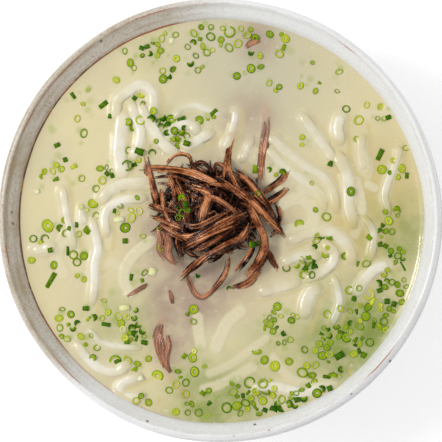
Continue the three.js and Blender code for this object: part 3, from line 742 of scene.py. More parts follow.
# clusters of small slices: x, y, spread, how many, tone from 0 (dark leaf) to 1 (white stalk)
SCALLION_DRIFTS = [
    # back left
    (-28, 85, 3, 1, .45), (-20, 87, 5, 1, .45), (-8, 87, 5, 2, .35), (-12, 80, 4, 1, .5),
    (-7, 78, 3, 1, .4), (-31, 77.5, 4.5, 3, .2), (-20, 76, 3, 1, .6), (-42, 73, 5, 2, .3),
    (-25, 68, 4, 1, .3), (-11, 70, 4, 1, .45), (-61, 62, 4, 1, .3), (-65, 54.5, 4.5, 2, .3),
    (-63, 49, 4, 1, .6), (-62, 38.5, 2.5, 1, .3), (-76, 37.5, 4, 1, .15), (-71, 25.5, 4.5, 2, .45),
    (-52.5, 23, 3, 2, .15), (-78, 19, 4, 2, .5), (-64, 16.5, 4, 1, .45), (-54, 16.5, 3, 1, .4),
    # the noodles at the back left
    (-37, 56, 3, 1, .3), (-42, 43.5, 2, 1, .4), (-27, 44.5, 3.2, 4, .08), (-5, 47.5, 1.5, 1, .4),
    (-17.5, 37, 3, 4, .3), (-42.5, 32.5, 1, 1, .4), (-31.5, 31.5, 1.5, 1, .2), (-40, 26, 1.5, 1, .1),
    (-61, 6.5, 3, 2, .55), (-47, 6, 2.5, 1, .5), (-36, 11, 2.5, 1, .3), (-39.5, 4, 3, 1, .6),
    # back right
    (2.5, 84, 5, 2, .35), (11, 87, 3, 1, .3), (25, 85, 4, 1, .4), (30, 76.5, 4, 1, .5),
    (16, 73.5, 5, 2, .3), (40, 74, 3, 1, .4), (9.5, 66, 3.5, 1, .5), (24.5, 62, 3, 1, .45),
    (36.5, 63, 3, 1, .4), (44, 61, 3.5, 1, .3), (53, 62, 3, 1, .3), (57, 69, 3.5, 1, .3),
    (75, 49, 4.5, 2, .3), (64.5, 37.5, 3, 1, .4), (77, 22, 6, 2, .35), (37, 36, 2.5, 1, .5),
    (42, 20, 3, 1, .5), (77, 3, 4, 1, .3), (23, 23.5, 4, 1, .25),
    # front left
    (-70, -4, 5, 2, .4), (-34, -5, 3.5, 1, .35), (-83, -8.5, 3.5, 1, .4), (-64, -16.5, 3.5, 1, .4),
    (-63.5, -25, 2.5, 1, .5), (-52, -34.5, 4, 1, .3), (-57, -41, 5, 2, .35), (-70.5, -44.5, 5, 2, .35),
    (-70, -49.5, 5, 2, .3), (-44, -46, 4, 2, .6), (-38.5, -51, 4.5, 4, .12), (-37, -24, 3.5, 2, .2),
    (-60, -56, 5, 2, .35), (-39, -64.5, 5, 2, .4), (-19, -73, 5, 2, .3), (-36, -82, 3, 1, .35),
    (-14, -87, 5, 3, .3), (-3.5, -89, 3, 1, .35), (-12.5, -43, 3, 1, .3), (-13, -60, 4, 2, .45),
    (-7.5, -64, 3.5, 1, .45),
    # front right
    (72.5, -6.5, 5, 4, .3), (80, -15.5, 3.5, 5, .15), (46, -9, 4, 4, .3), (39.5, -20.5, 4.5, 6, .15),
    (65, -17.5, 4, 2, .3), (79, -25, 5, 5, .25), (60.5, -32, 3.5, 2, .4), (83.5, -33, 4, 4, .3),
    (69.5, -38.5, 4, 2, .6), (61.5, -42, 4.5, 4, .35), (75, -44, 5.5, 5, .3), (63, -48, 2, 2, .4),
    (56, -50, 4, 5, .25), (65, -57, 5, 5, .3), (52, -63, 4, 2, .3), (52, -73, 4, 2, .3),
    (46, -78, 3, 2, .2), (40, -67.5, 4.5, 4, .3), (46, -59, 4, 2, .3), (49, -52, 4, 5, .2),
    (32.5, -44, 3, 2, .3), (26, -41, 3, 2, .35), (21.5, -46, 3, 4, .3), (25.5, -53, 5, 4, .3),
    (19, -61, 4, 2, .4), (7, -76.5, 4.5, 4, .2), (19, -82, 5, 4, .2), (27, -85, 3.5, 4, .08),
    (37, -82, 3.5, 2, .3),
    # on the beef
    (-17.5, 8, 2, 1, .02), (-18.5, 2.5, 1.5, 1, .05),
    # along the front edge
    (9, -83, 4.5, 5, .25), (16, -79.5, 4, 4, .4), (21, -76.5, 4, 3, .45), (34, -79, 4, 4, .3),
    (-5, -82, 5, 3, .3), (41, -73, 4, 3, .3),
]
# single slices that lie flat: x, y, radius, tone
SCALLION_RINGS = [
    # back
    (-4.7, 83.9, 2.2, .12), (-9.1, 88.2, 1.4, .1), (-4.6, 88.2, 1.35, .2), (0, 82.5, 1.6, .25),
    (3.9, 86, 2.7, .3), (3.6, 78.9, 2.2, .3), (15.5, 83, 2.0, .08), (13.4, 87.2, 1.35, .3),
    (9, 87.6, 1.35, .5), (29.2, 83, 2.1, .5), (7.7, 80.7, 2.0, .48), (22.2, 85, 1.8, .15),
    (-27, 83, 1.8, .5), (-15.2, 79.3, 1.5, .25), (-27.6, 77.5, 1.6, .25), (-41.3, 72, 2.0, .25),
    (-11.5, 75.2, 1.5, .1), (-6.5, 76.6, 1.8, .3), (-10.6, 68.6, 1.5, .25), (-26.7, 68.3, 1.6, .5),
    (7.2, 66, 1.8, .12), (26.5, 76.1, 2.1, .48), (17.8, 75.2, 1.5, .45), (21.9, 62.8, 1.6, .48),
    (26.5, 61, 1.5, .1), (43, 59.2, 1.5, .3), (66.3, 52.8, 1.6, .6), (-47.7, 64.2, 1.7, .5),
    # noodles at the back left
    (-36.3, 57.8, 2.0, .5), (-30.8, 50, 1.8, .45), (-42.2, 45, 1.8, .25), (-36.7, 45.8, 2.3, .5),
    (-22.6, 46, 2.5, .04), (-9.9, 45.8, 2.1, .2), (-29.4, 36.3, 1.25, .25), (-42.2, 32.2, 1.7, .15),
    (-37.8, 27.8, 1.6, .45), (-42.7, 25.2, 2.5, .08), (-21.2, 41, 1.9, .06), (-15.6, 38.6, 1.8, .08),
    (-22, 37.4, 1.4, .35),
    # left
    (-75, 25.4, 1.5, .5), (-55.1, 23.9, 1.8, .3), (-56.9, 14.7, 1.8, .25), (-58.3, 7.9, 2.4, .4),
    (-56.9, 2.4, 1.9, .3), (-45.9, 7, 1.4, .2), (-37.5, 4.5, 2.0, .7), (-40.8, 1.4, 2.3, .6),
    (-43.6, -3, 2.5, .1), (-64.7, -5.9, 1.5, .45), (-78.9, -2.2, 3.2, .45), (-70.9, -5.6, 1.7, .3),
    (-85.4, -8.1, 1.8, .12), (-80.2, -8.1, 2.0, .1), (-62.4, -15.9, 2.0, .2), (-65.6, -18.7, 2.0, .15),
    (-86.3, -17.8, 1.8, .45), (-76.1, -20.1, 2.0, .25), (-62.4, -26.5, 1.4, .45),
    # front left
    (-68.3, -42.5, 1.8, .08), (-73.8, -44.3, 2.0, .5), (-73.4, -48.6, 1.8, .35), (-70.2, -53.6, 1.7, .5),
    (-51.4, -41.6, 1.6, .45), (-63.8, -52.6, 1.8, .5), (-56.4, -57.6, 1.8, .28), (-58.3, -62.2, 1.6, .2),
    (-45.6, -46.6, 1.9, .4), (-43.6, -53.2, 1.7, .6), (-48, -64, 3.0, .3), (-38.1, -65, 1.7, .3),
    (-33, -62.7, 1.6, .3), (-28.9, -70.5, 2.8, .4), (-12.5, -40.2, 2.3, .3), (-12.5, -45.7, 1.6, .3),
    (-12.9, -62.2, 2.3, .3), (-12, -68.6, 2.5, .25), (-16.1, -73.6, 1.9, .08), (-16.1, -78.7, 1.9, .45),
    (-20.6, -74.4, 1.9, .55), (-10.2, -87.2, 1.85, .15), (-23.6, -77, 1.8, .2), (-38.6, -81.6, 1.7, .5),
    (-33, -82.6, 1.8, .3), (-20.6, -86.8, 1.7, .5),
    # right
    (62.7, 45.9, 2.4, .5), (57, 51, 1.9, .05), (72.6, 52, 1.7, .5), (84, 33.2, 1.6, .4),
    (73.2, 23.4, 2.2, .4), (82.3, 23.9, 2.1, .45), (80.3, 20, 1.6, .4), (59, 13.4, 2.2, .03),
    (37, 38.1, 1.4, .5), (48, 1.9, 2.2, .3), (35.6, -1.3, 2.2, .38), (43, 5.1, 1.35, .2),
    (74.8, 4.2, 1.3, .2), (76.4, .1, 2.1, .45), (77.8, -4.9, 1.6, .2), (77.3, -13.6, 1.5, .08),
    (80.5, -15.9, 1.8, .02), (47.5, -15, 2.0, .35), (56.2, -16, 1.7, .1), (37.6, -24.2, 2.2, .38),
    (39.5, -19.2, 1.7, .03), (29.7, -21.4, 1.9, .02), (16.8, -10.2, 1.3, .05),
    # front right
    (74.6, -30, 1.7, .06), (81.4, -32.9, 2.0, .1), (82.2, -36.9, 1.7, .2), (67.4, -33.4, 2.4, .62),
    (66.8, -39.3, 2.0, .06), (65.9, -43.4, 2.2, .2), (74.1, -45.7, 1.9, .12), (75, -49.6, 1.9, .35),
    (63.1, -48, 1.95, .25), (57.2, -53, 2.4, .1), (67.7, -55.3, 2.0, .06), (60.4, -60.4, 1.9, .42),
    (46.2, -61.3, 2.2, .15), (37, -69, 2.6, .25), (24.5, -66, 2.5, .5), (31, -64, 1.9, .3),
    (13, -73.5, 2.7, .15), (43.6, -78.2, 2.2, .05), (27.6, -81.2, 2.2, .3), (19.1, -81.9, 2.0, .4),
    (2.6, -85, 2.5, .05), (25.6, -39, 2.0, .28), (32, -45.2, 1.8, .08), (22.4, -47.2, 1.7, .3),
    (48.4, -42.4, 1.9, .4), (44.8, -56, 1.6, .25), (31.5, -54, 1.6, .35), (54.2, -39.8, 1.7, .5),
    (38, -58.6, 1.7, .15), (16, -77.6, 1.8, .4),
    # on the beef
    (-17.6, 10.4, 1.9, .02), (-17.2, 3.6, 2.1, .03), (16.6, 12.4, 1.5, .05), (-27, -12, 1.6, .4),
]
# short lumps that lie askew: x, y, radius, tone
SCALLION_LUMPS = [
    (-12.5, 81.6, 1.5, .04), (-32.2, 76.1, 1.3, .04), (-35.8, 75.2, 1.15, .06), (-13.8, 71.5, 1.6, .05),
    (-22.1, 69.2, 1.6, .05), (-23.4, 65.6, 1.3, .12), (13.6, 76.6, 1.4, .1), (-40.7, 42.4, 1.6, .2),
    (-6, 46.4, 1.0, .5), (-27.6, 43, 1.7, .02), (-26.4, 46.8, 1.6, .02), (-31.6, 46.6, 1.8, .03),
    (-24, 43.6, 1.9, .03), (-31.4, 31.2, 1.8, .06), (-18, 40.6, 1.7, .3), (-16.8, 42.4, 1.3, .04),
    (-19.6, 37.8, 1.6, .45), (-24.6, 40, 1.4, .04), (-80.6, 22.6, 1.5, .5), (-81.8, 20.4, 1.3, .45),
    (-60.5, -4, 2.0, .3), (-73.4, -3.1, 1.7, .15), (-57.8, -43.9, 1.6, .15), (-65.6, -46.2, 1.5, .04),
    (-67.4, -49.2, 1.4, .1), (-38.6, -40.7, 1.3, .03), (-39.5, -44.3, 1.4, .03), (-40.6, -48.2, 1.8, .02),
    (-36, -50.4, 1.7, .03), (-43, -43.6, 1.5, .7), (-37.8, -47.4, 1.5, .02), (-39.4, -51.2, 1.6, .04),
    (42.6, -11.8, 1.4, .1), (82.6, -17.4, 1.3, .04), (42.6, -21, 1.6, .02), (41.8, -18, 1.3, .08),
    (34.6, -20.4, 1.5, .42), (28.3, 22.6, 1.7, .15), (21.9, 23.4, 1.3, .04), (80, 5.1, 1.9, .38),
    (72.3, -4.5, 1.5, .15), (72, -28.2, 1.7, .02), (75.6, -27.2, 1.4, .1), (54.4, -67.7, 1.5, .04),
    (46.2, -76, 1.7, .03), (31.2, -83.2, 1.8, .02), (37.6, -80.6, 1.7, .02), (33.6, -84.6, 1.4, .08),
    (24, -85.8, 2.0, .01), (27.4, -85.8, 1.8, .02), (25.4, -83.6, 1.5, .03), (23.6, -79, 1.6, .5),
    (17.4, -88, 1.4, .15), (52.6, -48.4, 1.5, .04), (49.4, -52.4, 1.4, .05), (58.8, -46.4, 1.3, .06),
    (28.6, -51.2, 1.4, .05), (-16, 7.2, 1.8, .02), (-18.8, 6.4, 1.7, .03), (14, -10.5, 1.5, .06),
    (-28, -4, 1.3, .25), (-10.5, -25, 1.2, .08), (3.5, -30.4, 1.3, .04), (-14.8, 4.8, 1.3, .05),
]
# tubes on their sides: x, y, radius, length, angle in degrees from +X, tone
SCALLION_TUBES = [
    (-53.5, 53, 1.2, 4.4, 38, .08), (-37, 31.5, 1.6, 4.0, -20, .04), (72.4, 30.2, 1.25, 5.4, 65, .08),
    (-77.4, -26.9, 1.15, 7.6, 60, .12), (82.8, -20.5, .5, 4.8, -62, .06), (-36, 78.7, 1.1, 2.2, -20, .03),
    (-33.6, 79.4, 1.1, 2.2, 15, .04), (-22.4, 82, 1.3, 2.6, 80, .93), (-50.5, 47.7, .95, 2.1, 80, .04),
    (-39.3, 56, 1.15, 1.9, 50, .04), (-18, 46.4, 1.0, 3.8, 20, .03), (-3.3, 49.5, .9, 3.6, 40, .1),
    (-70.9, 27.9, 1.2, 1.9, 20, .05), (-51.8, 21.6, 1.3, 1.9, 40, .03), (-49.4, 20.6, 1.2, 1.8, 10, .05),
    (-48.6, 4.7, .8, 2.1, 80, .03), (-46.4, .6, 1.3, 4.8, 5, .93), (-65.6, -1.7, .9, 2.4, 85, .06),
    (-43.6, -9.1, 1.3, 2.3, 0, .08), (-77.5, -13.2, 1.2, 2.1, 10, .1), (-69.7, -13.6, .75, 4.2, 88, .04),
    (-40.9, -25.6, .95, 3.0, 80, .05), (-31, -23, 1.9, 3.4, 70, .9), (-61.5, -39.8, 1.2, 2.8, 0, .06),
    (-52.3, -47.1, 1.0, 4.0, -10, .04), (-43.9, -39.6, 1.4, 4.8, 5, .88),
    (-34.9, -55.3, 1.2, 2.8, -10, .03), (-42.7, -55.4, 1.0, 2.5, 5, .12), (-46.8, -63.8, 1.0, 3.2, 20, .05),
    (-36.5, -71.5, 1.3, 2.6, 30, .95), (-83.7, 13.3, 1.2, 2.2, 30, .93), (76.2, 47.2, 1.15, 2.3, 20, .04),
    (84.6, 20.7, .95, 2.7, 88, .1), (49.8, 26.2, 1.2, 2.6, 70, .03), (15.6, 23.6, 1.3, 3.6, 85, .35),
    (72.4, -10.6, 1.3, 2.1, 10, .06), (75, -11.4, 1.2, 2.0, 60, .1), (46.2, -7.7, .7, 4.2, 12, .08),
    (72.2, -31.6, 1.2, 2.4, 20, .04), (75.6, -36.6, 1.4, 2.4, 0, .02), (78.8, -37.8, 1.4, 2.2, -20, .03),
    (69, -36.6, 1.0, 3.6, 60, .75), (54, -61.3, 1.6, 4.4, 30, .02), (65, -61, 1.3, 2.6, 60, .15),
    (49.4, -76, 1.3, 2.4, 20, .04), (34.6, -81.2, 1.4, 2.6, 15, .03), (48, -71, .9, 3.2, -10, .04),
    (38.4, -21.8, 1.3, 2.3, 50, .06), (60.6, -35.2, 1.2, 2.4, 75, .06), (69.6, -47.4, .8, 2.8, 80, .05),
]


# ------------------------------------------------------------------ routes and fields
def flat_route(path, heights, step=1.0):
    """A smooth route in metres through places in millimetres, each at its height over the broth."""
    points = [(x, y, h) for (x, y), h in zip(path, heights)]
    return smooth_route(points, step) * MM + np.array([0, 0, LEVEL])


def flat_strand(path, width, height=0):
    """A level strip, for its outline alone, from a path, a width and a height in millimetres."""
    return Strand(flat_route(path, [height] * len(path)), width / 2 * MM, 1 * MM)


NOODLE_STEP = 0.8            # millimetres from point to point
DIVE_DEPTH = 5.2             # millimetres from the broth down to a noodle's end
DIVE_LIMIT = 86              # the furthest from the middle that it ends


def noodle_strands(sizes):
    """The noodles that break the surface; an end that isn't a cut one goes on and under."""
    rng = random.Random(11)
    half_thick = sizes.thickness / 2
    strands = []
    for path, width, top, cut in NOODLES:
        path = [np.array(p, float) for p in path]
        heights = [0.48 * top + 0.35 - half_thick / MM] * len(path)
        for end, (last, before) in {"start": (0, 1), "end": (-1, -2)}.items():
            if cut in (end, "both"):
                continue
            ahead = path[last] - path[before]
            onward = path[last] + ahead / np.linalg.norm(ahead) * sizes.dive / MM
            onward *= min(1.0, DIVE_LIMIT / np.linalg.norm(onward))
            at = 0 if end == "start" else len(path)
            path.insert(at, onward)
            heights.insert(at, -DIVE_DEPTH)
        route = flat_route(path, heights, NOODLE_STEP)
        count = len(route)
        reach = count * 0.05
        steps = np.arange(count) * NOODLE_STEP
        film = np.zeros(count)
        slim = np.ones(count)
        for end, away in (("start", steps), ("end", steps[::-1])):
            if cut in (end, "both"):
                slim = np.minimum(slim, np.sqrt(1 - (1 - np.clip((away + 0.2) / 2, 0, 1)) ** 2))
            else:
                film = np.maximum(film, 1 - soft_step(away, 6, 22))
                slim = np.minimum(slim, 0.55 + 0.45 * soft_step(away, 2, 11))
        widths = np.linspace(*np.broadcast_to(width, 2), count)
        strands.append(Strand(
            route,
            widths * 0.56 * MM * slim * (1 + 0.06 * waves(rng, count, reach)),
            half_thick * (0.3 + 0.7 * slim) * (1 + 0.08 * waves(rng, count, reach)),
            0.16 * waves(rng, count, reach),
            0.5 + 0.3 * waves(rng, count, reach),
            film,
        ))
    return strands


def heap_over(x, y, rise):
    """How high a heap of some rise stands over the broth at a place, all in millimetres."""
    away = ((x - HEAP_CENTRE[0]) / HEAP_HALF[0]) ** 2 + ((y - HEAP_CENTRE[1]) / HEAP_HALF[1]) ** 2
    return rise * np.maximum(0, 1 - away)


def fibres(rng, route, width, thick, radius, film=(0.0, 0.0), taper=0.12, fray=0.22, painted_shade_drop=0.0):
    """A shred of meat: fibres side by side along a route, which part and cross a little; its lower and outer
    fibres carry a painted shade.
    """
    count = len(route)
    along = np.gradient(route, axis=0)
    along /= np.linalg.norm(along, axis=1)[:, None]
    across = np.cross(along, (0, 0, 1))
    across /= np.linalg.norm(across, axis=1)[:, None]
    over = np.cross(across, along)
    sunk = np.linspace(film[0], film[1], count) ** 1.6
    ahead = np.linspace(-1, 1, count)
    spread = width / 2 * (1 + 0.24 * waves(rng, count, count * 0.1)) * (1 - taper * np.abs(ahead) ** 2.5)
    twist = 0.7 * waves(rng, count, count * 0.07)
    number = max(3, int(round(width / (radius * 1.8))) + 1)
    bundle = []
    for i in range(number * 2):
        layer = i // number
        side = ((i % number) / (number - 1) * 2 - 1) * (1 - 0.3 * layer)
        lift = (1 - side * side) ** 0.5 * (0.35 if layer == 0 else 0.95) - 0.15
        sway = waves(rng, count, count * 0.11)
        first = int(rng.random() * fray * count)
        last = count - int(rng.random() * fray * count)
        own = radius * (0.7 + 0.7 * rng.random())
        ends = np.minimum(np.arange(count) - first, last - 1 - np.arange(count)) / 3
        thin = np.clip(ends, 0.4, 1.0)
        sideways = side * (spread - own * 0.7) + sway * radius * 0.75
        upward = lift * thick / 2 + waves(rng, count, count * 0.13) * radius * 0.6
        middle = route + across * (sideways * np.cos(twist) - upward * np.sin(twist))[:, None]
        middle = middle + over * (upward * np.cos(twist) + sideways * np.sin(twist))[:, None]
        # painted shade and light: fibres in the lower layer and at the sides are darker and the top layer
        # lighter, as if shaded between shreds; painted_shade_drop darkens fibres deep in the heap; the rest
        # is random tone
        shade = 0.32 + 0.3 * layer - 0.16 * abs(side) - painted_shade_drop + 0.26 * rng.uniform(-1, 1)
        shade = shade + 0.22 * waves(rng, count, count * 0.08)
        bundle.append(Strand(middle[first:last], (own * thin)[first:last] * 1.15,
                             (own * thin)[first:last], 0.0, shade[first:last], sunk[first:last]))
    return bundle


SHRED_STEP = 1.05            # millimetres from point to point


def shred_route(path, lift, rise):
    """A shred follows the surface of a heap of some rise, and comes down on the broth past its edge."""
    route = smooth_route([(x, y, 0) for x, y in path], SHRED_STEP)
    over = heap_over(route[:, 0], route[:, 1], rise / MM)
    route[:, 2] = over + lift * np.minimum(1, over / 3)
    return route * MM + np.array([0, 0, LEVEL])


SEEN_DEPTH = 3.6 * MM        # what lies deeper leaves no mark on the surface
FIELD_REACH = 12 * MM        # how far round a strand its distance is worked out


def distance_field(places, strands):
    """Distance from each place to the nearest strand's edge, seen from above, less than 0 on it,
    that strand's top over the broth there, and how far the broth veils it."""
    away = np.full(len(places), 1.0)
    rise = np.zeros(len(places))
    veil = np.zeros(len(places))
    for strand in strands:
        shown = strand.route[:, 2] > LEVEL - SEEN_DEPTH
        line = strand.route[shown, :2]
        if not len(line):
            continue
        near_it = (places > line.min(0) - FIELD_REACH) & (places < line.max(0) + FIELD_REACH)
        inside = np.flatnonzero(near_it.all(1))
        if not len(inside):
            continue
        half = strand.values["half_width"][shown]
        top = (strand.route[:, 2] + strand.values["half_thick"] - LEVEL)[shown]
        gap = np.linalg.norm(places[inside, None, :] - line[None, :, :], axis=2) - half[None, :]
        nearest = gap.argmin(1)
        gap = gap.min(1)
        closer = gap < away[inside]
        away[inside[closer]] = gap[closer]
        rise[inside[closer]] = top[nearest[closer]]
        veil[inside[closer]] = strand.values["film"][shown][nearest[closer]]
    return away, rise, veil


def soft_step(value, low, high):
    """A smooth step from 0 at low to 1 at high."""
    share = np.clip((value - low) / (high - low), 0, 1)
    return share * share * (3 - 2 * share)


def tops_of(names):
    """A function that gives the height of what lies highest at a place, among these pieces."""
    vertices, faces = [], []
    for name in names:
        mesh = bpy.data.objects[name].data
        start = len(vertices)
        vertices += [v.co.copy() for v in mesh.vertices]
        faces += [[start + i for i in polygon.vertices] for polygon in mesh.polygons]
    tree = BVHTree.FromPolygons(vertices, faces)

    def top(x, y):
        hit = tree.ray_cast(Vector((x, y, 2 * BOWL_TOP)), Vector((0, 0, -1)))[0]
        return LEVEL if hit is None else hit.z

    return top


# ------------------------------------------------------------------ materials
# stretches of the rim: angle from +X and half width in degrees, softness of the ends, strength
EDGE_DRIFTS = [
    (25, 34, .2, 1.4), (144, 20, .2, 1.1), (190, 14, .2, .6), (228, 16, .2, .7), (328, 18, .2, -.5),
]
EDGE_STRETCHES = [
    (109, 4, .01, 1), (136, 6, .02, 1), (150, 5, .02, 1), (189, 2.5, .005, 1), (223, 4, .01, 1),
    (319, 5, .01, 1), (54, 1.5, .003, 1),
]


def angle_window(tree, side, centre, half, soft=0.2):
    """1 on the side of the bowl round an angle in degrees, 0 off it; side points out from the axis."""
    toward = (math.cos(math.radians(centre)), math.sin(math.radians(centre)), 0)
    along = tree.vector("DOT_PRODUCT", side, toward, output=1)
    edge = math.cos(math.radians(half))
    return tree.between(along, edge - soft * 0.5, edge + soft * 0.5)


def windows(tree, side, table):
    """The sum of a table's windows, each times its strength."""
    return sum(angle_window(tree, side, centre, half, soft) * strength
               for centre, half, soft, strength in table)


def stoneware_material(look, climb_ridge, climb_inner):
    """Glaze that greys on the left and breaks brown on the ridge and the lip, over a bare foot."""
    tree = Finish("stoneware glaze", Coat_Weight=0.35, Coat_Roughness=0.18)
    place = tree.place()
    climb = tree.attribute("climb")
    height = tree.parts(place)[2]
    side = tree.vector("NORMALIZE", tree.vector("MULTIPLY", place, (1, 1, 0)))
    unit_x, unit_y, _ = tree.parts(side)

    def round_noise(pitch, level, detail, roughness=0.5):
        """Noise that runs round the bowl, finer with its pitch."""
        return tree.noise(tree.joined(unit_x * pitch, unit_y * pitch, level), 1.0, detail, roughness)

    streaks = round_noise(2.2, climb * 420, 4, 0.6)
    worn = round_noise(9, 0, 3, 0.7)
    stray = (round_noise(14, 3, 2) - 0.5) * (0.9 * MM)
    patches = tree.noise(place, 55, 3, 0.55)
    fine = tree.noise(place, 900, 3, 0.6)
    speckle = tree.noise(place, 950, 3, 0.75, 0.6)

    greyer = angle_window(tree, side, 160, 62, 0.5)
    mottled = tree.between(streaks, 0.42, 0.7) * 0.35 + tree.between(patches, 0.45, 0.75) * 0.25
    thin = (greyer * 0.62 + mottled * (0.3 + 0.7 * greyer)).least(1.0)
    colour = tree.blend(thin, look.glaze, look.thin_glaze)
    colour = tree.blend(tree.between(speckle, 0.46, 0.68) * (greyer * 0.5 + 0.14), colour, look.clay)

    off_ridge = abs(climb - climb_ridge - windows(tree, side, EDGE_DRIFTS) * MM + stray)
    faint = tree.between(worn, 0.42, 0.6) * (0.22 + greyer * 0.28)
    strength = (windows(tree, side, EDGE_STRETCHES).least(1.0) + faint).least(1.0)
    ridge = tree.between(off_ridge, 0.1 * MM, 0.55 * MM, 1.0, 0.0) * strength
    colour = tree.blend(ridge * 0.85, colour, look.edge)

    off_inner = abs(climb - climb_inner + stray * 0.7)
    width = tree.between(worn, 0.3, 0.65, 0.7 * MM, 1.3 * MM)
    broad = tree.between(off_inner / width, 0.35, 1.0, 1.0, 0.0) * angle_window(tree, side, 160, 58, 0.12)
    faded = tree.between(off_inner, 0.2 * MM, 0.8 * MM, 0.4, 0.0) * angle_window(tree, side, 238, 24)
    darkest = angle_window(tree, side, 168, 42) * tree.between(worn, 0.35, 0.5)
    brown = tree.blend(darkest, look.edge, look.dark_edge)
    colour = tree.blend((broad + faded).least(0.95), colour, brown)

    cells = tree.add("ShaderNodeTexVoronoi", None, {"Vector": place, "Scale": 130})
    seeds = tree.parts(cells.also(1))[0]
    specks = tree.between(cells, 0.05, 0.13, 1.0, 0.0) * tree.between(seeds, 0.62, 0.66)
    colour = tree.blend(specks * 0.8, colour, look.dark_edge)
    bare = tree.between(height + (worn - 0.5) * (4 * MM), 4.5 * MM, 5.8 * MM, 1.0, 0.0)
    colour = tree.blend(bare, colour, tree.blend(fine, look.clay, look.edge))
    tree.feed("Base Color", colour)
    tree.feed("Roughness", tree.between(patches, 0.3, 0.7, 0.32, 0.5) + bare * 0.35)
    relief = streaks * 0.35 + fine * 0.4 + speckle * 0.3 + patches * 0.4 - specks * 0.5
    tree.bump(relief, 0.4 * MM, 0.5)
    return tree.material


# patches of colour in the broth, in millimetres: middle, reach, how far it is full, share
COOL_PATCHES = [((15, 70), 62, 0, .85)]
WARM_PATCHES = [((72, 15), 40, 0, 1), ((62, -8), 26, 0, .9)]
# round the heap and the loose shreds: a meat tint with painted shade
MEATY_SHADE_PATCHES = [
    ((-4, -6), 50, 22, .75), ((-12, -35), 22, 4, .6), ((-24, -42), 18, 5, .75), ((-22, -58), 16, 5, .85),
    ((17, 82), 16, 3, .7), ((13, 47), 19, 5, .7),
]
HERBAL_PATCHES = [
    ((61, -53), 37, 8, .88), ((82, -6), 30, 3, .6), ((-46, -48), 28, 0, .45), ((-4, -86), 36, 4, .75),
    ((-24, 42), 14, 0, .4), ((40, -21), 12, 0, .45), ((24, -58), 24, 0, .4), ((-30, 76), 16, 0, .25),
]


def patches_of(tree, place, table, most=1.0):
    """The sum of a table's patches, at most as much as given."""
    return sum(near(tree, place, middle, reach, core) * share
               for middle, reach, core, share in table).least(most)


def broth_colour(tree, place, look):
    """The broth's colour where nothing floats near, with a meat tint and painted shade round the beef."""
    clouds = tree.noise(place, 28, 3, 0.55)
    ragged = tree.between(tree.noise(place, 90, 3, 0.6), 0.25, 0.65, 0.45, 1.0)
    colour = tree.blend(tree.between(clouds, 0.35, 0.7) * 0.35, look.cream, look.cool)
    colour = tree.blend(patches_of(tree, place, COOL_PATCHES), colour, look.cool)
    colour = tree.blend(patches_of(tree, place, WARM_PATCHES) * 0.75, colour, look.warm)
    # a meat tint with painted shade round the beef
    colour = tree.blend(patches_of(tree, place, MEATY_SHADE_PATCHES) * ragged, colour, look.meaty_and_shaded)
    return tree.blend(patches_of(tree, place, HERBAL_PATCHES, 0.92) * ragged, colour, look.herbal)


def broth_material(look, noodles, beef, scallion):
    """Milky broth with a veil over sunken noodles, streaks of meat, leaf haze, pale flecks and a painted warm
    shade beside the noodles.
    """
    tree = Finish("milky broth", Coat_Roughness=0.04, IOR=1.34)
    place = tree.place()
    grain = tree.noise(place, 520, 3, 0.6)
    pale = tree.attribute("pale")
    flecks = tree.between(tree.noise(place, 330, 2, 0.5), 0.66, 0.76) * 0.28
    # painted shade: a warm tint on the broth beside the noodles, away from the key light
    colour = tree.blend(tree.attribute("lee") * 0.5, broth_colour(tree, place, look), look.warm)
    colour = tree.blend(pale * tree.between(grain, 0.2, 0.7, 0.75, 1.0), colour, noodles.dough)
    streaks = tree.attribute("meat") * tree.between(grain, 0.3, 0.7, 0.2, 0.42)
    colour = tree.blend(streaks, colour, beef.soaked)
    colour = tree.blend(tree.attribute("leaf"), colour, scallion.fresh)
    tree.feed("Base Color", tree.blend(flecks, colour, noodles.core))
    tree.feed("Roughness", tree.between(grain, 0.2, 0.8, 0.2, 0.34))
    tree.feed("Coat Weight", 0.5 - 0.48 * tree.between(pale, 0.01, 0.2))
    tree.bump(tree.noise(place, 120, 3, 0.5) + grain * 0.12, 0.5 * MM, 0.25)
    return tree.material


def noodle_material(look, broth):
    """Cooked dough, denser in places, wet on top and veiled by broth low down and at its ends."""
    tree = Finish("cooked noodle", Coat_Roughness=0.07)
    place = tree.place()
    height = tree.parts(place)[2]
    cloud = tree.noise(place, 160, 3, 0.55)
    grain = tree.noise(place, 1100, 2, 0.5)
    dense = tree.between(cloud * 0.6 + tree.attribute("shade") * 0.4, 0.3, 0.65)
    side = tree.between(height + (cloud - 0.5) * (0.6 * MM), LEVEL + 0.3 * MM, LEVEL + 1.7 * MM, 1.0, 0.0)
    soaked = near(tree, place, (52, 5), 48, 8) * 0.25
    film = (side * 0.4 + tree.attribute("film") * 0.8 + soaked).least(0.94)
    colour = tree.blend(film, tree.blend(dense, look.dough, look.core), broth_colour(tree, place, broth))
    tree.feed("Base Color", colour)
    tree.feed("Coat Weight", 0.6 - film * 0.6)
    tree.feed("Roughness", tree.between(grain, 0.3, 0.7, 0.24, 0.38))
    tree.bump(cloud * 0.8 + grain * 0.1, 0.5 * MM, 0.35)
    return tree.material


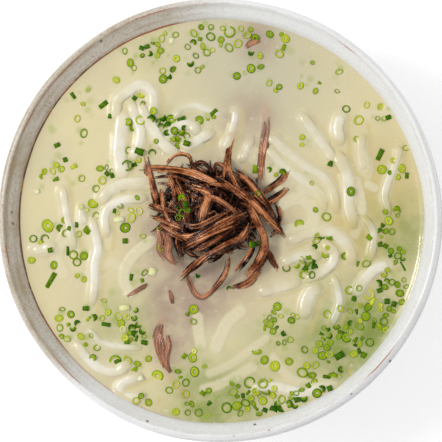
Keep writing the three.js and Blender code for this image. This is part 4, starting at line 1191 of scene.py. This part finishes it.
def beef_material(look, broth):
    """Braised meat with grain along its fibres, moist in patches, paler where broth covers it, and darker or
    lighter by the painted shade set on each fibre.
    """
    tree = Finish("braised beef", Coat_Roughness=0.08, Specular_IOR_Level=0.08)
    place = tree.place()
    height = tree.parts(place)[2]
    film = tree.attribute("film")
    section = tree.add("ShaderNodeAttribute", {"attribute_name": "section"}, output=1)
    lengthwise = tree.vector("ADD", tree.vector("SCALE", section, 2.2),
                             tree.joined(0.0, 0.0, tree.attribute("run") * 190))
    cloud = tree.noise(place, 140, 3, 0.6)
    grain = tree.noise(lengthwise, 1.0, 4, 0.65)
    bits = tree.noise(place, 1300, 3, 0.6)
    # the fibres' shade carries painted shade and light as well as random tone
    tone = (tree.attribute("shade") - 0.04 + (cloud - 0.5) * 1.6 + (grain - 0.5) * 1.3
            + (bits - 0.5) * 0.8)
    colour = tree.ramp(tone, [(0.12, look.dark), (0.46, look.brown), (0.86, look.light)])
    colour = tree.blend((film * 0.8).least(0.8), colour, look.soaked)
    low = tree.between(height, LEVEL - 0.2 * MM, LEVEL + 1.2 * MM, 0.6, 0.0)
    sunk = tree.between(film, 0.6, 1.1) * 0.5
    tree.feed("Base Color", tree.blend((low + sunk).least(0.9), colour, broth.meaty_and_shaded))
    tree.feed("Roughness", tree.between(bits, 0.35, 0.65, 0.22, 0.55))
    tree.feed("Coat Weight", tree.between(cloud + (bits - 0.5) * 0.4, 0.42, 0.58, 0.08, 0.9))
    tree.bump(grain + bits * 0.4, 0.5 * MM, 0.8)
    return tree.material


def scallion_material(look):
    """Leaf to stalk by each slice's tone, paler through the wall and darker in the heart."""
    tree = Finish("sliced scallion", Coat_Weight=0.08, Coat_Roughness=0.1, Specular_IOR_Level=0.05)
    tone = tree.attribute("tone")
    outward = tree.attribute("outward")
    grain = tree.noise(tree.place(), 900, 2, 0.5)
    flesh = tree.between(outward, 0.95, 0.72)
    heart = tree.between(outward, 0.42, 0.3)
    whole = tone - 0.04 + (flesh * 0.42 - heart * 0.25) * (1.0 - tone) + (grain - 0.5) * 0.3
    stops = [(0.05, look.leaf), (0.42, look.fresh), (0.72, look.pale), (0.95, look.white)]
    tree.feed("Base Color", tree.ramp(whole, stops))
    tree.feed("Roughness", tree.between(grain, 0.3, 0.7, 0.25, 0.42))
    tree.bump(grain, 0.3 * MM, 0.4)
    return tree.material


# ------------------------------------------------------------------ operators
# the two lights, up at the back left: how wide they are and where they stand
KEY_SIZE = 0.8
KEY_PLACE = (-0.72, 0.24, 0.86)
SPARK_SIZE = 0.26
SPARK_PLACE = (-0.70, 0.20, 0.92)
FLOOR_REACH = 3.0


def soft_light(name, size, power, place):
    """A round light that looks at the broth."""
    lamp = bpy.data.lights.new(name, "AREA")
    lamp.shape = "DISK"
    lamp.size = size
    lamp.energy = power
    light = placed(name, lamp)
    light.location = place
    light.rotation_euler = (Vector((0, 0, LEVEL)) - light.location).to_track_quat("-Z", "Y").to_euler()


def pale_floor(colour):
    """A wide pale floor that the foot stands on."""
    mesh = bpy.data.meshes.new("floor")
    corners = [(x * FLOOR_REACH, y * FLOOR_REACH, 0) for x, y in ((-1, -1), (1, -1), (1, 1), (-1, 1))]
    mesh.from_pydata(corners, [], [(0, 1, 2, 3)])
    tree = Finish("floor", Roughness=0.9, Emission_Color=(1, 1, 1, 1), Emission_Strength=0.2)
    grain = tree.noise(tree.place(), 40, 3)
    tree.feed("Base Color", tree.blend(grain * 0.1, colour, [c * 0.93 for c in colour]))
    mesh.materials.append(tree.material)
    return placed("floor", mesh)


class SOUP_OT_stage(bpy.types.Operator):
    """Floor, light and a camera that looks straight down into the bowl"""
    bl_idname = "soup.stage"
    bl_label = "Stage"

    def execute(self, context):
        scene = context.scene
        look = scene.soup.stage
        scene.view_settings.view_transform = "Standard"
        world = bpy.data.worlds.new("studio")
        world.use_nodes = True
        sky = world.node_tree.nodes["Background"]
        sky.inputs["Color"].default_value = (1.0, 1.0, 1.0, 1.0)
        sky.inputs["Strength"].default_value = look.fill
        scene.world = world
        soft_light("key", KEY_SIZE, look.key, KEY_PLACE)
        soft_light("spark", SPARK_SIZE, look.spark, SPARK_PLACE)
        pale_floor(look.floor)

        lens = bpy.data.cameras.new("overhead")
        lens.sensor_width = 36
        # the bowl's widest part just fills the view
        lens.lens = lens.sensor_width / 2 * look.camera_height / BOWL_RADIUS
        scene.camera = placed("overhead", lens)
        scene.camera.location = (0, 0, BELLY_HEIGHT + look.camera_height)
        return {"FINISHED"}


LIP_EDGE = LIP_RADIUS + 0.2 * MM                 # the lip's radius in the section
LIP_LEAN_SIDE = 2.9                              # radians from +X, where it leans in most


def lip_reach(turn):
    """How far from the middle the lip is that leans in over the broth, at an angle round the bowl."""
    return LIP_EDGE - (1.2 + 0.3 * np.cos(turn - LIP_LEAN_SIDE)) * MM


def quarter(low, high, count):
    """Points on a quarter ellipse that leaves low level and arrives at high upright."""
    turn = np.linspace(0, math.pi / 2, count)
    return np.stack([low[0] + (high[0] - low[0]) * np.sin(turn),
                     high[1] - (high[1] - low[1]) * np.cos(turn)], 1)


def bowl_profile():
    """The bowl's section from the middle of the underside over the rim to the middle of the floor."""
    foot = [
        (0, FOOT_RECESS + 1 * MM), (FOOT_INNER * 0.6, FOOT_RECESS + 0.4 * MM),
        (FOOT_INNER - 1.4 * MM, FOOT_RECESS), (FOOT_INNER - 0.5 * MM, FOOT_RECESS - 1 * MM),
        (FOOT_INNER, 0.8 * MM), (FOOT_INNER + 0.9 * MM, 0), (FOOT_RADIUS - 1.2 * MM, 0),
        (FOOT_RADIUS, 1.0 * MM), (FOOT_RADIUS + 0.1 * MM, FOOT_HEIGHT - 1.6 * MM),
        (FOOT_RADIUS + 0.6 * MM, FOOT_HEIGHT - 0.4 * MM),
    ]
    outside = quarter((FOOT_RADIUS + 1.6 * MM, FOOT_HEIGHT), (BOWL_RADIUS, BELLY_HEIGHT), 40)
    rim = smooth_route([
        (BOWL_RADIUS, BELLY_HEIGHT), (BOWL_RADIUS - 0.25 * MM, BOWL_TOP - 2.2 * MM),
        (BOWL_RADIUS - 0.95 * MM, BOWL_TOP - 0.8 * MM), (RIDGE_RADIUS + 0.5 * MM, BOWL_TOP - 0.1 * MM),
        (RIDGE_RADIUS - 0.3 * MM, BOWL_TOP - 0.3 * MM), (RIDGE_RADIUS - 1.6 * MM, BOWL_TOP - 2.0 * MM),
        (LIP_RADIUS + 1.2 * MM, LIP_HEIGHT + 2.4 * MM), (LIP_EDGE, LIP_HEIGHT + 0.5 * MM),
    ], RIM_STEP)[1:]
    inside = quarter((FLOOR_RADIUS, FLOOR_HEIGHT), (LIP_RADIUS, LIP_HEIGHT), 16)[::-1]
    floor = [(FLOOR_RADIUS * 0.5, FLOOR_HEIGHT - 0.7 * MM), (0, FLOOR_HEIGHT - 1 * MM)]
    return np.vstack([foot, outside, rim, inside, floor])


BOWL_SIDES = 256
RIM_STEP = 0.35 * MM         # from point to point of the section round the rim
THROWING_PITCH = 5.2 * MM    # from one ring of the potter's fingers to the next


def bowl_radii(look, radius, height, turn, length, half_way):
    """The section's radii all round, strayed as a hand-made bowl's do."""
    top = soft_step(height, LIP_HEIGHT, BOWL_TOP - 1.5 * MM) * (radius < BOWL_RADIUS - 0.1 * MM)
    radius = radius + top * RIDGE_DRIFT * np.cos(turn - RIDGE_DRIFT_SIDE)
    sway = 0.6 * np.sin(3 * turn + 0.7) + 0.3 * np.sin(7 * turn + 2.1) + 0.2 * np.sin(13 * turn)
    radius = radius + look.wobble * soft_step(height, 40 * MM, BOWL_TOP) * sway
    rings = np.sin(length / THROWING_PITCH * WHOLE_TURN + turn) * (radius > FOOT_RADIUS + 2 * MM)
    radius = radius + look.throwing * rings * ((length < half_way) & (height < BELLY_HEIGHT))
    lip = soft_step(height, 58 * MM, 66 * MM) * (1 - soft_step(height, 69 * MM, 74 * MM))
    radius = radius - lip * (radius < RIDGE_RADIUS) * (LIP_EDGE - lip_reach(turn))
    return radius, height + 0.25 * MM * top * np.sin(2 * turn + 1.1)


class SOUP_OT_bowl(bpy.types.Operator):
    """The hand-thrown stoneware bowl"""
    bl_idname = "soup.bowl"
    bl_label = "Bowl"

    def execute(self, context):
        look = context.scene.soup.bowl
        profile = bowl_profile()
        climb = np.concatenate([[0], np.cumsum(np.linalg.norm(np.diff(profile, axis=0), axis=1))])
        turn = np.arange(BOWL_SIDES) / BOWL_SIDES * WHOLE_TURN
        inner = profile[1:-1]
        radius, height = (np.repeat(inner[:, column:column + 1], BOWL_SIDES, 1) for column in (0, 1))
        radius, height = bowl_radii(look, radius, height, turn, climb[1:-1, None], climb[-1] * 0.5)
        vertices = np.stack([radius * np.cos(turn), radius * np.sin(turn), height], 2).reshape(-1, 3)
        under, over = len(vertices), len(vertices) + 1
        vertices = np.vstack([vertices, [(0, 0, profile[0, 1]), (0, 0, profile[-1, 1])]])
        first = range(BOWL_SIDES)
        last = range(under - BOWL_SIDES, under)
        faces = [*grid_faces(len(inner), BOWL_SIDES, True), *fan(under, first[::-1]), *fan(over, last)]
        lengths = np.concatenate([np.repeat(climb[1:-1], BOWL_SIDES), [0, climb[-1]]])
        # where along the section the glaze breaks brown
        ridge = climb[np.argmax(profile[:, 1])] + 0.4 * MM
        off_lip = np.abs(profile[:, 1] - LIP_HEIGHT - 0.5 * MM) + (profile[:, 0] > 96 * MM)
        lip = climb[np.argmin(off_lip)] - 0.2 * MM
        material = stoneware_material(look, float(ridge), float(lip))
        piece = piece_from("bowl_thrown", vertices, faces, material, {"climb": lengths})
        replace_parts(piece, "bowl")
        return {"FINISHED"}


def disc_grid(cells, radius):
    """Places on a disc, as a square grid pressed into a circle."""
    axis = np.linspace(-1, 1, cells + 1)
    a, b = np.meshgrid(axis, axis, indexing="ij")
    swap = np.abs(a) < np.abs(b)
    big = np.where(swap, b, a)
    small = np.where(swap, a, b)
    with np.errstate(divide="ignore", invalid="ignore"):
        angle = np.where(big == 0, 0, math.pi / 4 * small / big)
    x = np.where(swap, big * np.sin(angle), big * np.cos(angle))
    y = np.where(swap, big * np.cos(angle), big * np.sin(angle))
    return np.stack([x, y], 2).reshape(-1, 2) * radius


# waves that lie on the broth, in millimetres but for the angles: length, height, angle, start
SURFACE_WAVES = [(21, .05, .4, 0), (13, .035, 1.9, 2), (8.5, .025, 2.7, 4)]
# the broth's sides inside the bowl's wall, in millimetres: radius, height
BROTH_SIDES = [(92.5, 66), (90.5, 55), (78, 35), (60, 20), (44, 13.4)]
BROTH_BOTTOM = 13.2 * MM
WAVE_SKEW = 40               # radians for each metre of y, so that no two crests run alike
SKIRT = 0.7 * MM             # how far in from a noodle's edge the broth begins to climb
CLIMB_REACH = 1.25 * MM      # how far out from there it has mostly fallen again
PALE_REACH = 2.1 * MM        # how far out from there it looks pale
CREEP_REACH = 1 * MM         # how far out from a shred it has mostly fallen again
# how far a noodle's painted shade lies off it, away from the key light
LEE_SHIFT = (2.2 * MM, -0.8 * MM)
STEEPER_SIDE = -0.12         # radians from +X, where the broth's edge curls up most


def leaf_haze(places):
    """The green of leaf just under the surface, in soft spots round where slices drift."""
    haze = np.zeros(len(places))
    rng = random.Random(5)
    for x, y, spread, number, tone in SCALLION_DRIFTS:
        for _ in range(number * 2):
            turn = rng.random() * WHOLE_TURN
            out = (spread + 1.5) * rng.random() ** 0.5
            spot = np.array([x + out * math.cos(turn), y + out * math.sin(turn)]) * MM
            size = rng.uniform(0.8, 1.9) * MM
            gap = np.linalg.norm(places - spot, axis=1) / size
            haze = np.maximum(haze, rng.uniform(0.12, 0.55) * (1 - tone * 0.5) * np.exp(-gap ** 4))
    return haze


def broth_at(places, soup):
    """The broth's height at each place, and the shares of what tints it there."""
    noodles = noodle_strands(soup.noodles)
    shreds = [Strand(shred_route(path, lift, soup.beef.rise), width / 2 * MM, 1 * MM)
              for path, width, lift, *_ in HEAP_SHREDS]
    shreds += [flat_strand(*shred) for group in LOOSE_SHREDS.values() for shred in group]
    to_noodle, noodle_top, veil = distance_field(places, noodles)
    to_shred = distance_field(places, shreds)[0]

    height = np.full(len(places), LEVEL)
    for length, size, angle, start in SURFACE_WAVES:
        along = places[:, 0] * math.cos(angle) + places[:, 1] * math.sin(angle)
        height += size * MM * np.sin(along / (length * MM) * WHOLE_TURN + start + WAVE_SKEW * places[:, 1])
    beside = np.maximum(to_noodle + SKIRT, 0)
    height += 0.62 * np.maximum(noodle_top, 0) * np.exp(-(beside / CLIMB_REACH) ** 1.5)
    height += soup.broth.creep * 0.7 * np.exp(-np.maximum(to_shred, 0) / CREEP_REACH)
    round_bowl = np.arctan2(places[:, 1], places[:, 0])
    to_lip = np.maximum(lip_reach(round_bowl) - np.linalg.norm(places, axis=1), 0)
    steeper = soft_step(np.cos(round_bowl - STEEPER_SIDE), 0.6, 0.97)
    height += (1.0 + 0.5 * steeper) * MM * np.exp(-to_lip / ((1.7 - 0.5 * steeper) * MM))

    pale = (0.8 - 0.5 * veil) * np.exp(-(beside / PALE_REACH) ** 1.6)
    pale *= np.clip(1 + noodle_top / (1.8 * MM), 0, 1)
    # painted shade: the broth on the side of the noodles that the key light doesn't reach is tinted warmer
    shifted = distance_field(places - np.array(LEE_SHIFT), noodles)[0]
    lee = (1 - soft_step(shifted, -0.8 * MM, 1.4 * MM)) * soft_step(to_noodle, 0.0, 1.2 * MM)
    for path, width, depth in SUNKEN_NOODLES:
        away = distance_field(places, [flat_strand(path, width, -depth)])[0]
        blur = (0.4 + 0.7 * depth) * MM
        cover = 1 - soft_step(away, -blur, blur * 0.8)
        height += soup.broth.swell * cover * (1.2 - 0.7 * depth)
        pale = np.maximum(pale, cover * (1.15 - 0.6 * depth))
    meat = np.zeros(len(places))
    for path, width in MEAT_SMEARS:
        away = distance_field(places, [flat_strand(path, width)])[0]
        meat = np.maximum(meat, 1 - soft_step(away, -width * 0.45 * MM, 1.6 * MM))
    return height, {"pale": pale, "lee": lee, "meat": meat, "leaf": leaf_haze(places)}


def broth_body(places, height, cells):
    """The surface over its grid, closed by sides inside the bowl's wall and a bottom."""
    faces = [face[[0, 3, 2, 1]] for face in grid_faces(cells + 1, cells + 1, False)]   # they face up
    index = np.arange((cells + 1) ** 2).reshape(cells + 1, cells + 1)
    ring = np.concatenate([index[:-1, 0], index[-1, :-1], index[:0:-1, -1], index[0, :0:-1]])
    vertices = np.column_stack([places, height])
    side = places[ring] / np.linalg.norm(places[ring], axis=1)[:, None]
    for radius, level in BROTH_SIDES:
        below = len(vertices) + np.arange(len(side))
        wall = np.column_stack([side * radius * MM, np.full(len(side), level * MM)])
        vertices = np.vstack([vertices, wall])
        faces += list(np.stack([ring, below, np.roll(below, -1), np.roll(ring, -1)], 1))
        ring = below
    faces += fan(len(vertices), ring[::-1])
    return np.vstack([vertices, [(0, 0, BROTH_BOTTOM)]]), faces


class SOUP_OT_broth(bpy.types.Operator):
    """The milky broth, which creeps up what stands in it and swells over what lies under it"""
    bl_idname = "soup.broth"
    bl_label = "Broth"

    def execute(self, context):
        soup = context.scene.soup
        cells = soup.broth.cells // 1
        places = disc_grid(cells, WATERLINE)
        height, tints = broth_at(places, soup)
        vertices, faces = broth_body(places, height, cells)
        spare = np.zeros(len(vertices) - len(places))
        tints = {label: np.concatenate([values, spare]) for label, values in tints.items()}
        material = broth_material(soup.broth, soup.noodles, soup.beef, soup.scallion)
        piece = piece_from("broth_surface", vertices, faces, material, tints)
        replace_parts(piece, "broth")
        return {"FINISHED"}


class SOUP_OT_noodles(bpy.types.Operator):
    """The noodles that break the surface"""
    bl_idname = "soup.noodles"
    bl_label = "Noodles"

    def execute(self, context):
        soup = context.scene.soup
        lines = strand_lines("noodle lines", noodle_strands(soup.noodles))
        piece = grown(lines, sweep_tree(), "noodle_heap", noodle_material(soup.noodles, soup.broth), "noodle",
                      Sides=16, Squareness=0.8, Ripple=0.22 * MM, **{"Ripple Size": 4 * MM})
        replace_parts(piece, "noodles")
        return {"FINISHED"}


CORE_SHARE = 0.75            # of the heap's rise
CORE_SINK = 1.2 * MM
CORE_DEPTH = 1.6 * MM


def heap_core(rise):
    """The inside of the heap, lumpy, closed under the broth; it is painted near-black as the shade between
    the shreds.
    """
    rows, columns = 26, 72
    down = np.arange(1, rows)[:, None] / rows
    turn = np.arange(columns) / columns * WHOLE_TURN
    lump = 1 + 0.05 * np.sin(5 * turn + 9 * down) + 0.04 * np.sin(11 * turn - 17 * down)
    reach = 0.94 * down * lump
    x = (CORE_CENTRE[0] + CORE_HALF[0] * reach * np.cos(turn)) * MM
    y = (CORE_CENTRE[1] + CORE_HALF[1] * reach * np.sin(turn)) * MM
    z = LEVEL + (1 - down * down) ** 1.2 * CORE_SHARE * rise * lump - CORE_SINK
    vertices = [tuple(vertex) for vertex in np.stack([x, y, z], 2).reshape(-1, 3)]
    top, bottom = len(vertices), len(vertices) + 1
    for height in (LEVEL + CORE_SHARE * rise - CORE_SINK, LEVEL - CORE_DEPTH):
        vertices.append((CORE_CENTRE[0] * MM, CORE_CENTRE[1] * MM, height))
    last = range(top - columns, top)
    faces = [face[::-1] for face in grid_faces(rows - 1, columns, True)]
    return vertices, [*faces, *fan(top, range(columns)), *fan(bottom, last[::-1])]


def beef_piece(name, bundles, material, core=None):
    """Shreds of meat as one piece, with the heap's core, painted dark as shade, under them where there is
    one.
    """
    lines = strand_lines(name + " lines", bundles)
    piece = grown(lines, sweep_tree(), name, material, "beef",
                  Sides=6, Squareness=0.9, Ripple=0.34 * MM, **{"Ripple Size": 1.0 * MM})
    if core:
        body = bmesh.new()
        body.from_mesh(piece.data)
        shade = body.verts.layers.float["shade"]
        start = [body.verts.new(v) for v in core[0]]
        # painted shade: the core gets the darkest shade, so it shows as shadow between the shreds
        for vertex in start:
            vertex[shade] = 0.02
        for face in core[1]:
            body.faces.new([start[i] for i in face]).smooth = True
        body.to_mesh(piece.data)
        body.free()
    return piece


LITTLE_SHREDS = 170
CRUMBS = 70
HEAP_THICK = 2.6 * MM        # from the top to the underside of a shred in the heap
LOOSE_THICK = 2.2 * MM       # and of one that lies apart


def little_shred(rng, look):
    """A few fibres that lie somewhere in the heap, a little under its surface, darkened by a painted shade.
    """
    turn = rng.random() * WHOLE_TURN
    out = rng.random() ** 0.5 * 0.92
    x = CORE_CENTRE[0] + CORE_HALF[0] * out * math.cos(turn)
    y = CORE_CENTRE[1] + CORE_HALF[1] * out * math.sin(turn)
    heading = rng.gauss(-0.6, 0.9)
    length = rng.uniform(2.5, 7)
    bend = rng.uniform(-0.5, 0.5)
    path = [(x + s * length * math.cos(heading + bend * s), y + s * length * math.sin(heading + bend * s))
            for s in (-1, -0.3, 0.4, 1)]
    route = shred_route(path, -rng.uniform(0.6, 3.0), look.rise)
    return fibres(rng, route, 1.9 * MM, 1.5 * MM, look.fibre * 0.95, painted_shade_drop=0.16)[2:6]


def crumb(rng, look):
    """A short crumbly bit in the left of the heap, a little darkened by a painted shade."""
    x, y, turn = rng.gauss(-9, 2.6), rng.gauss(6, 5), rng.random() * WHOLE_TURN
    reach = rng.uniform(0.8, 1.9)
    path = [(x + s * reach * math.cos(turn), y + s * reach * math.sin(turn)) for s in (-1, 0, 1)]
    route = shred_route(path, rng.uniform(0.2, 2.4), look.rise)
    return fibres(rng, route, 1.6 * MM, 1.6 * MM, look.fibre, painted_shade_drop=0.1)[1:5]


class SOUP_OT_beef(bpy.types.Operator):
    """The heap of shredded beef and the shreds that lie apart from it"""
    bl_idname = "soup.beef"
    bl_label = "Beef"

    def execute(self, context):
        soup = context.scene.soup
        look = soup.beef
        material = beef_material(look, soup.broth)
        rng = random.Random(23)
        bundles = []
        for path, width, lift, *film in HEAP_SHREDS:
            route = shred_route(path, lift, look.rise)
            bundles += fibres(rng, route, width * MM, HEAP_THICK, look.fibre, *film)
        for _ in range(LITTLE_SHREDS):
            bundles += little_shred(rng, look)
        for _ in range(CRUMBS):
            bundles += crumb(rng, look)
        heap = beef_piece("beef_heap_shreds", bundles, material, heap_core(look.rise))
        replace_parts(heap, "beef_heap")
        for node, group in LOOSE_SHREDS.items():
            bundles = []
            for path, width in group:
                route = flat_route(path, [0.2] * len(path), 0.8)
                bundles += fibres(rng, route, width * MM, LOOSE_THICK, look.fibre,
                                  film=(0.8, 0.7), taper=0.2, fray=0.08)
            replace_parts(beef_piece(node + "_fibres", bundles, material), node)
        return {"FINISHED"}


ANY_WAY = 6.28               # radians, nearly all round
SLICE_LIMIT = 90.5           # millimetres from the middle, past which a slice would touch the bowl
TRIES = 40                   # how often a free place is looked for
SPACING = 0.8                # of two slices' radii together, the least there is between them
ON_SIDE = 0.24               # the share of small slices that lie on their sides
THIN_RING, THICK_RING, NESTED_RINGS = 0, 1, 2
OPEN_KINDS = (THIN_RING, THIN_RING, THIN_RING, THICK_RING, NESTED_RINGS, NESTED_RINGS)


def slice_rows(rng):
    """Every slice as x, y, width, depth, length, lean, heading and tone; sizes are in millimetres."""
    rows = []
    for x, y, radius, tone in SCALLION_RINGS:
        rows.append((x, y, radius, radius * rng.uniform(0.78, 1.0), rng.uniform(0.9, 1.3),
                     rng.uniform(0, 0.14), rng.random() * ANY_WAY, tone))
    for x, y, radius, tone in SCALLION_LUMPS:
        rows.append((x, y, radius, radius * rng.uniform(0.7, 1.0), radius * rng.uniform(1.0, 1.5),
                     rng.uniform(0.35, 1.2), rng.random() * ANY_WAY, tone))
    for x, y, radius, length, angle, tone in SCALLION_TUBES:
        rows.append((x, y, radius, radius * 0.92, length, 1.5, math.radians(angle + 90), tone * 0.86 + 0.1))
    taken = [row[:3] for row in rows]
    for x, y, spread, number, tone in SCALLION_DRIFTS:
        for _ in range(number):
            found = free_place(rng, x, y, spread, taken)
            if not found:
                continue
            taken.append(found)
            px, py, radius = found
            on_side = rng.random() < ON_SIDE
            length = rng.uniform(1.6, 3.2) if on_side else rng.uniform(0.8, 1.5)
            lean = rng.uniform(1.2, 1.6) if on_side else rng.uniform(0, 0.16)
            own = min(1.0, max(0.0, tone + rng.uniform(-0.22, 0.25)))
            if on_side:
                radius *= 0.62
            rows.append((px, py, radius, radius * rng.uniform(0.62, 1.0), length, lean,
                         rng.random() * ANY_WAY, own))
    return rows


def free_place(rng, x, y, spread, taken):
    """A place and a radius for a slice in a drift, clear of the others, or nothing."""
    for _ in range(TRIES):
        turn = rng.random() * WHOLE_TURN
        out = spread * rng.random() ** 0.5
        px, py = x + out * math.cos(turn), y + out * math.sin(turn)
        radius = 1.1 + 1.2 * rng.random() ** 1.3
        if math.hypot(px, py) > SLICE_LIMIT - radius * 0.5:
            continue
        if all(math.hypot(px - a, py - b) > SPACING * (radius + r) for a, b, r in taken):
            return px, py, radius
    return None


class SOUP_OT_scallions(bpy.types.Operator):
    """Slices of scallion on all that lies in the bowl"""
    bl_idname = "soup.scallions"
    bl_label = "Scallions"

    def execute(self, context):
        look = context.scene.soup.scallion
        loose = [node + "_fibres" for node in LOOSE_SHREDS]
        top = tops_of(["broth_surface", "noodle_heap", "beef_heap_shreds", *loose])
        rng = random.Random(41)
        places, leans, sizes, tones, kinds = [], [], [], [], []
        for x, y, wide, deep, length, lean, heading, tone in slice_rows(rng):
            carried = top(x * MM, y * MM)
            reach = abs(math.cos(lean)) * length / 2 + abs(math.sin(lean)) * wide * 0.75
            sunk = 0.3 if carried < LEVEL + 1.0 * MM else 0.2
            places.append((x * MM, y * MM, carried - sunk * reach * MM))
            leans.append((lean, 0, heading))
            sizes.append((wide * MM, deep * MM, length * MM))
            tones.append(tone)
            kinds.append(NESTED_RINGS if length > wide * 1.1 else rng.choice(OPEN_KINDS))
        mesh = bpy.data.meshes.new("slice places")
        mesh.from_pydata(places, [], [])
        carry(mesh, "lean", leans, "FLOAT_VECTOR")
        carry(mesh, "size", sizes, "FLOAT_VECTOR")
        carry(mesh, "tone", tones)
        carry(mesh, "kind", kinds, "INT")
        grown(placed("slice places", mesh), slice_tree(), "scallion_slices", scallion_material(look),
              "scallion", Sides=12, Wall=look.wall, Ripple=0.25 * MM, **{"Ripple Size": 1.4 * MM})
        return {"FINISHED"}


# ------------------------------------------------------------------ panel
class SOUP_PT_panel(bpy.types.Panel):
    """Lists what can be made and changed"""
    bl_label = "Noodle soup"
    bl_idname = "SOUP_PT_panel"
    bl_space_type = "VIEW_3D"
    bl_region_type = "UI"
    bl_category = "Noodle soup"

    def draw(self, context):
        soup = context.scene.soup
        for operator, settings in ((SOUP_OT_stage, soup.stage), (SOUP_OT_bowl, soup.bowl),
                                   (SOUP_OT_broth, soup.broth), (SOUP_OT_noodles, soup.noodles),
                                   (SOUP_OT_beef, soup.beef), (SOUP_OT_scallions, soup.scallion)):
            box = self.layout.box()
            box.operator(operator.bl_idname)
            for name in settings.__annotations__:
                box.prop(settings, name)


CLASSES = (BowlSettings, BrothSettings, NoodleSettings, BeefSettings, ScallionSettings, StageSettings,
           SoupSettings, SOUP_OT_stage, SOUP_OT_bowl, SOUP_OT_broth, SOUP_OT_noodles, SOUP_OT_beef,
           SOUP_OT_scallions, SOUP_PT_panel)


def register():
    for cls in CLASSES:
        bpy.utils.register_class(cls)
    bpy.types.Scene.soup = PointerProperty(type=SoupSettings)


def unregister():
    del bpy.types.Scene.soup
    for cls in reversed(CLASSES):
        bpy.utils.unregister_class(cls)


def main():
    register()
    bpy.ops.soup.stage()
    bpy.ops.soup.bowl()
    bpy.ops.soup.broth()
    bpy.ops.soup.noodles()
    bpy.ops.soup.beef()
    bpy.ops.soup.scallions()


if __name__ == "__main__":
    main()
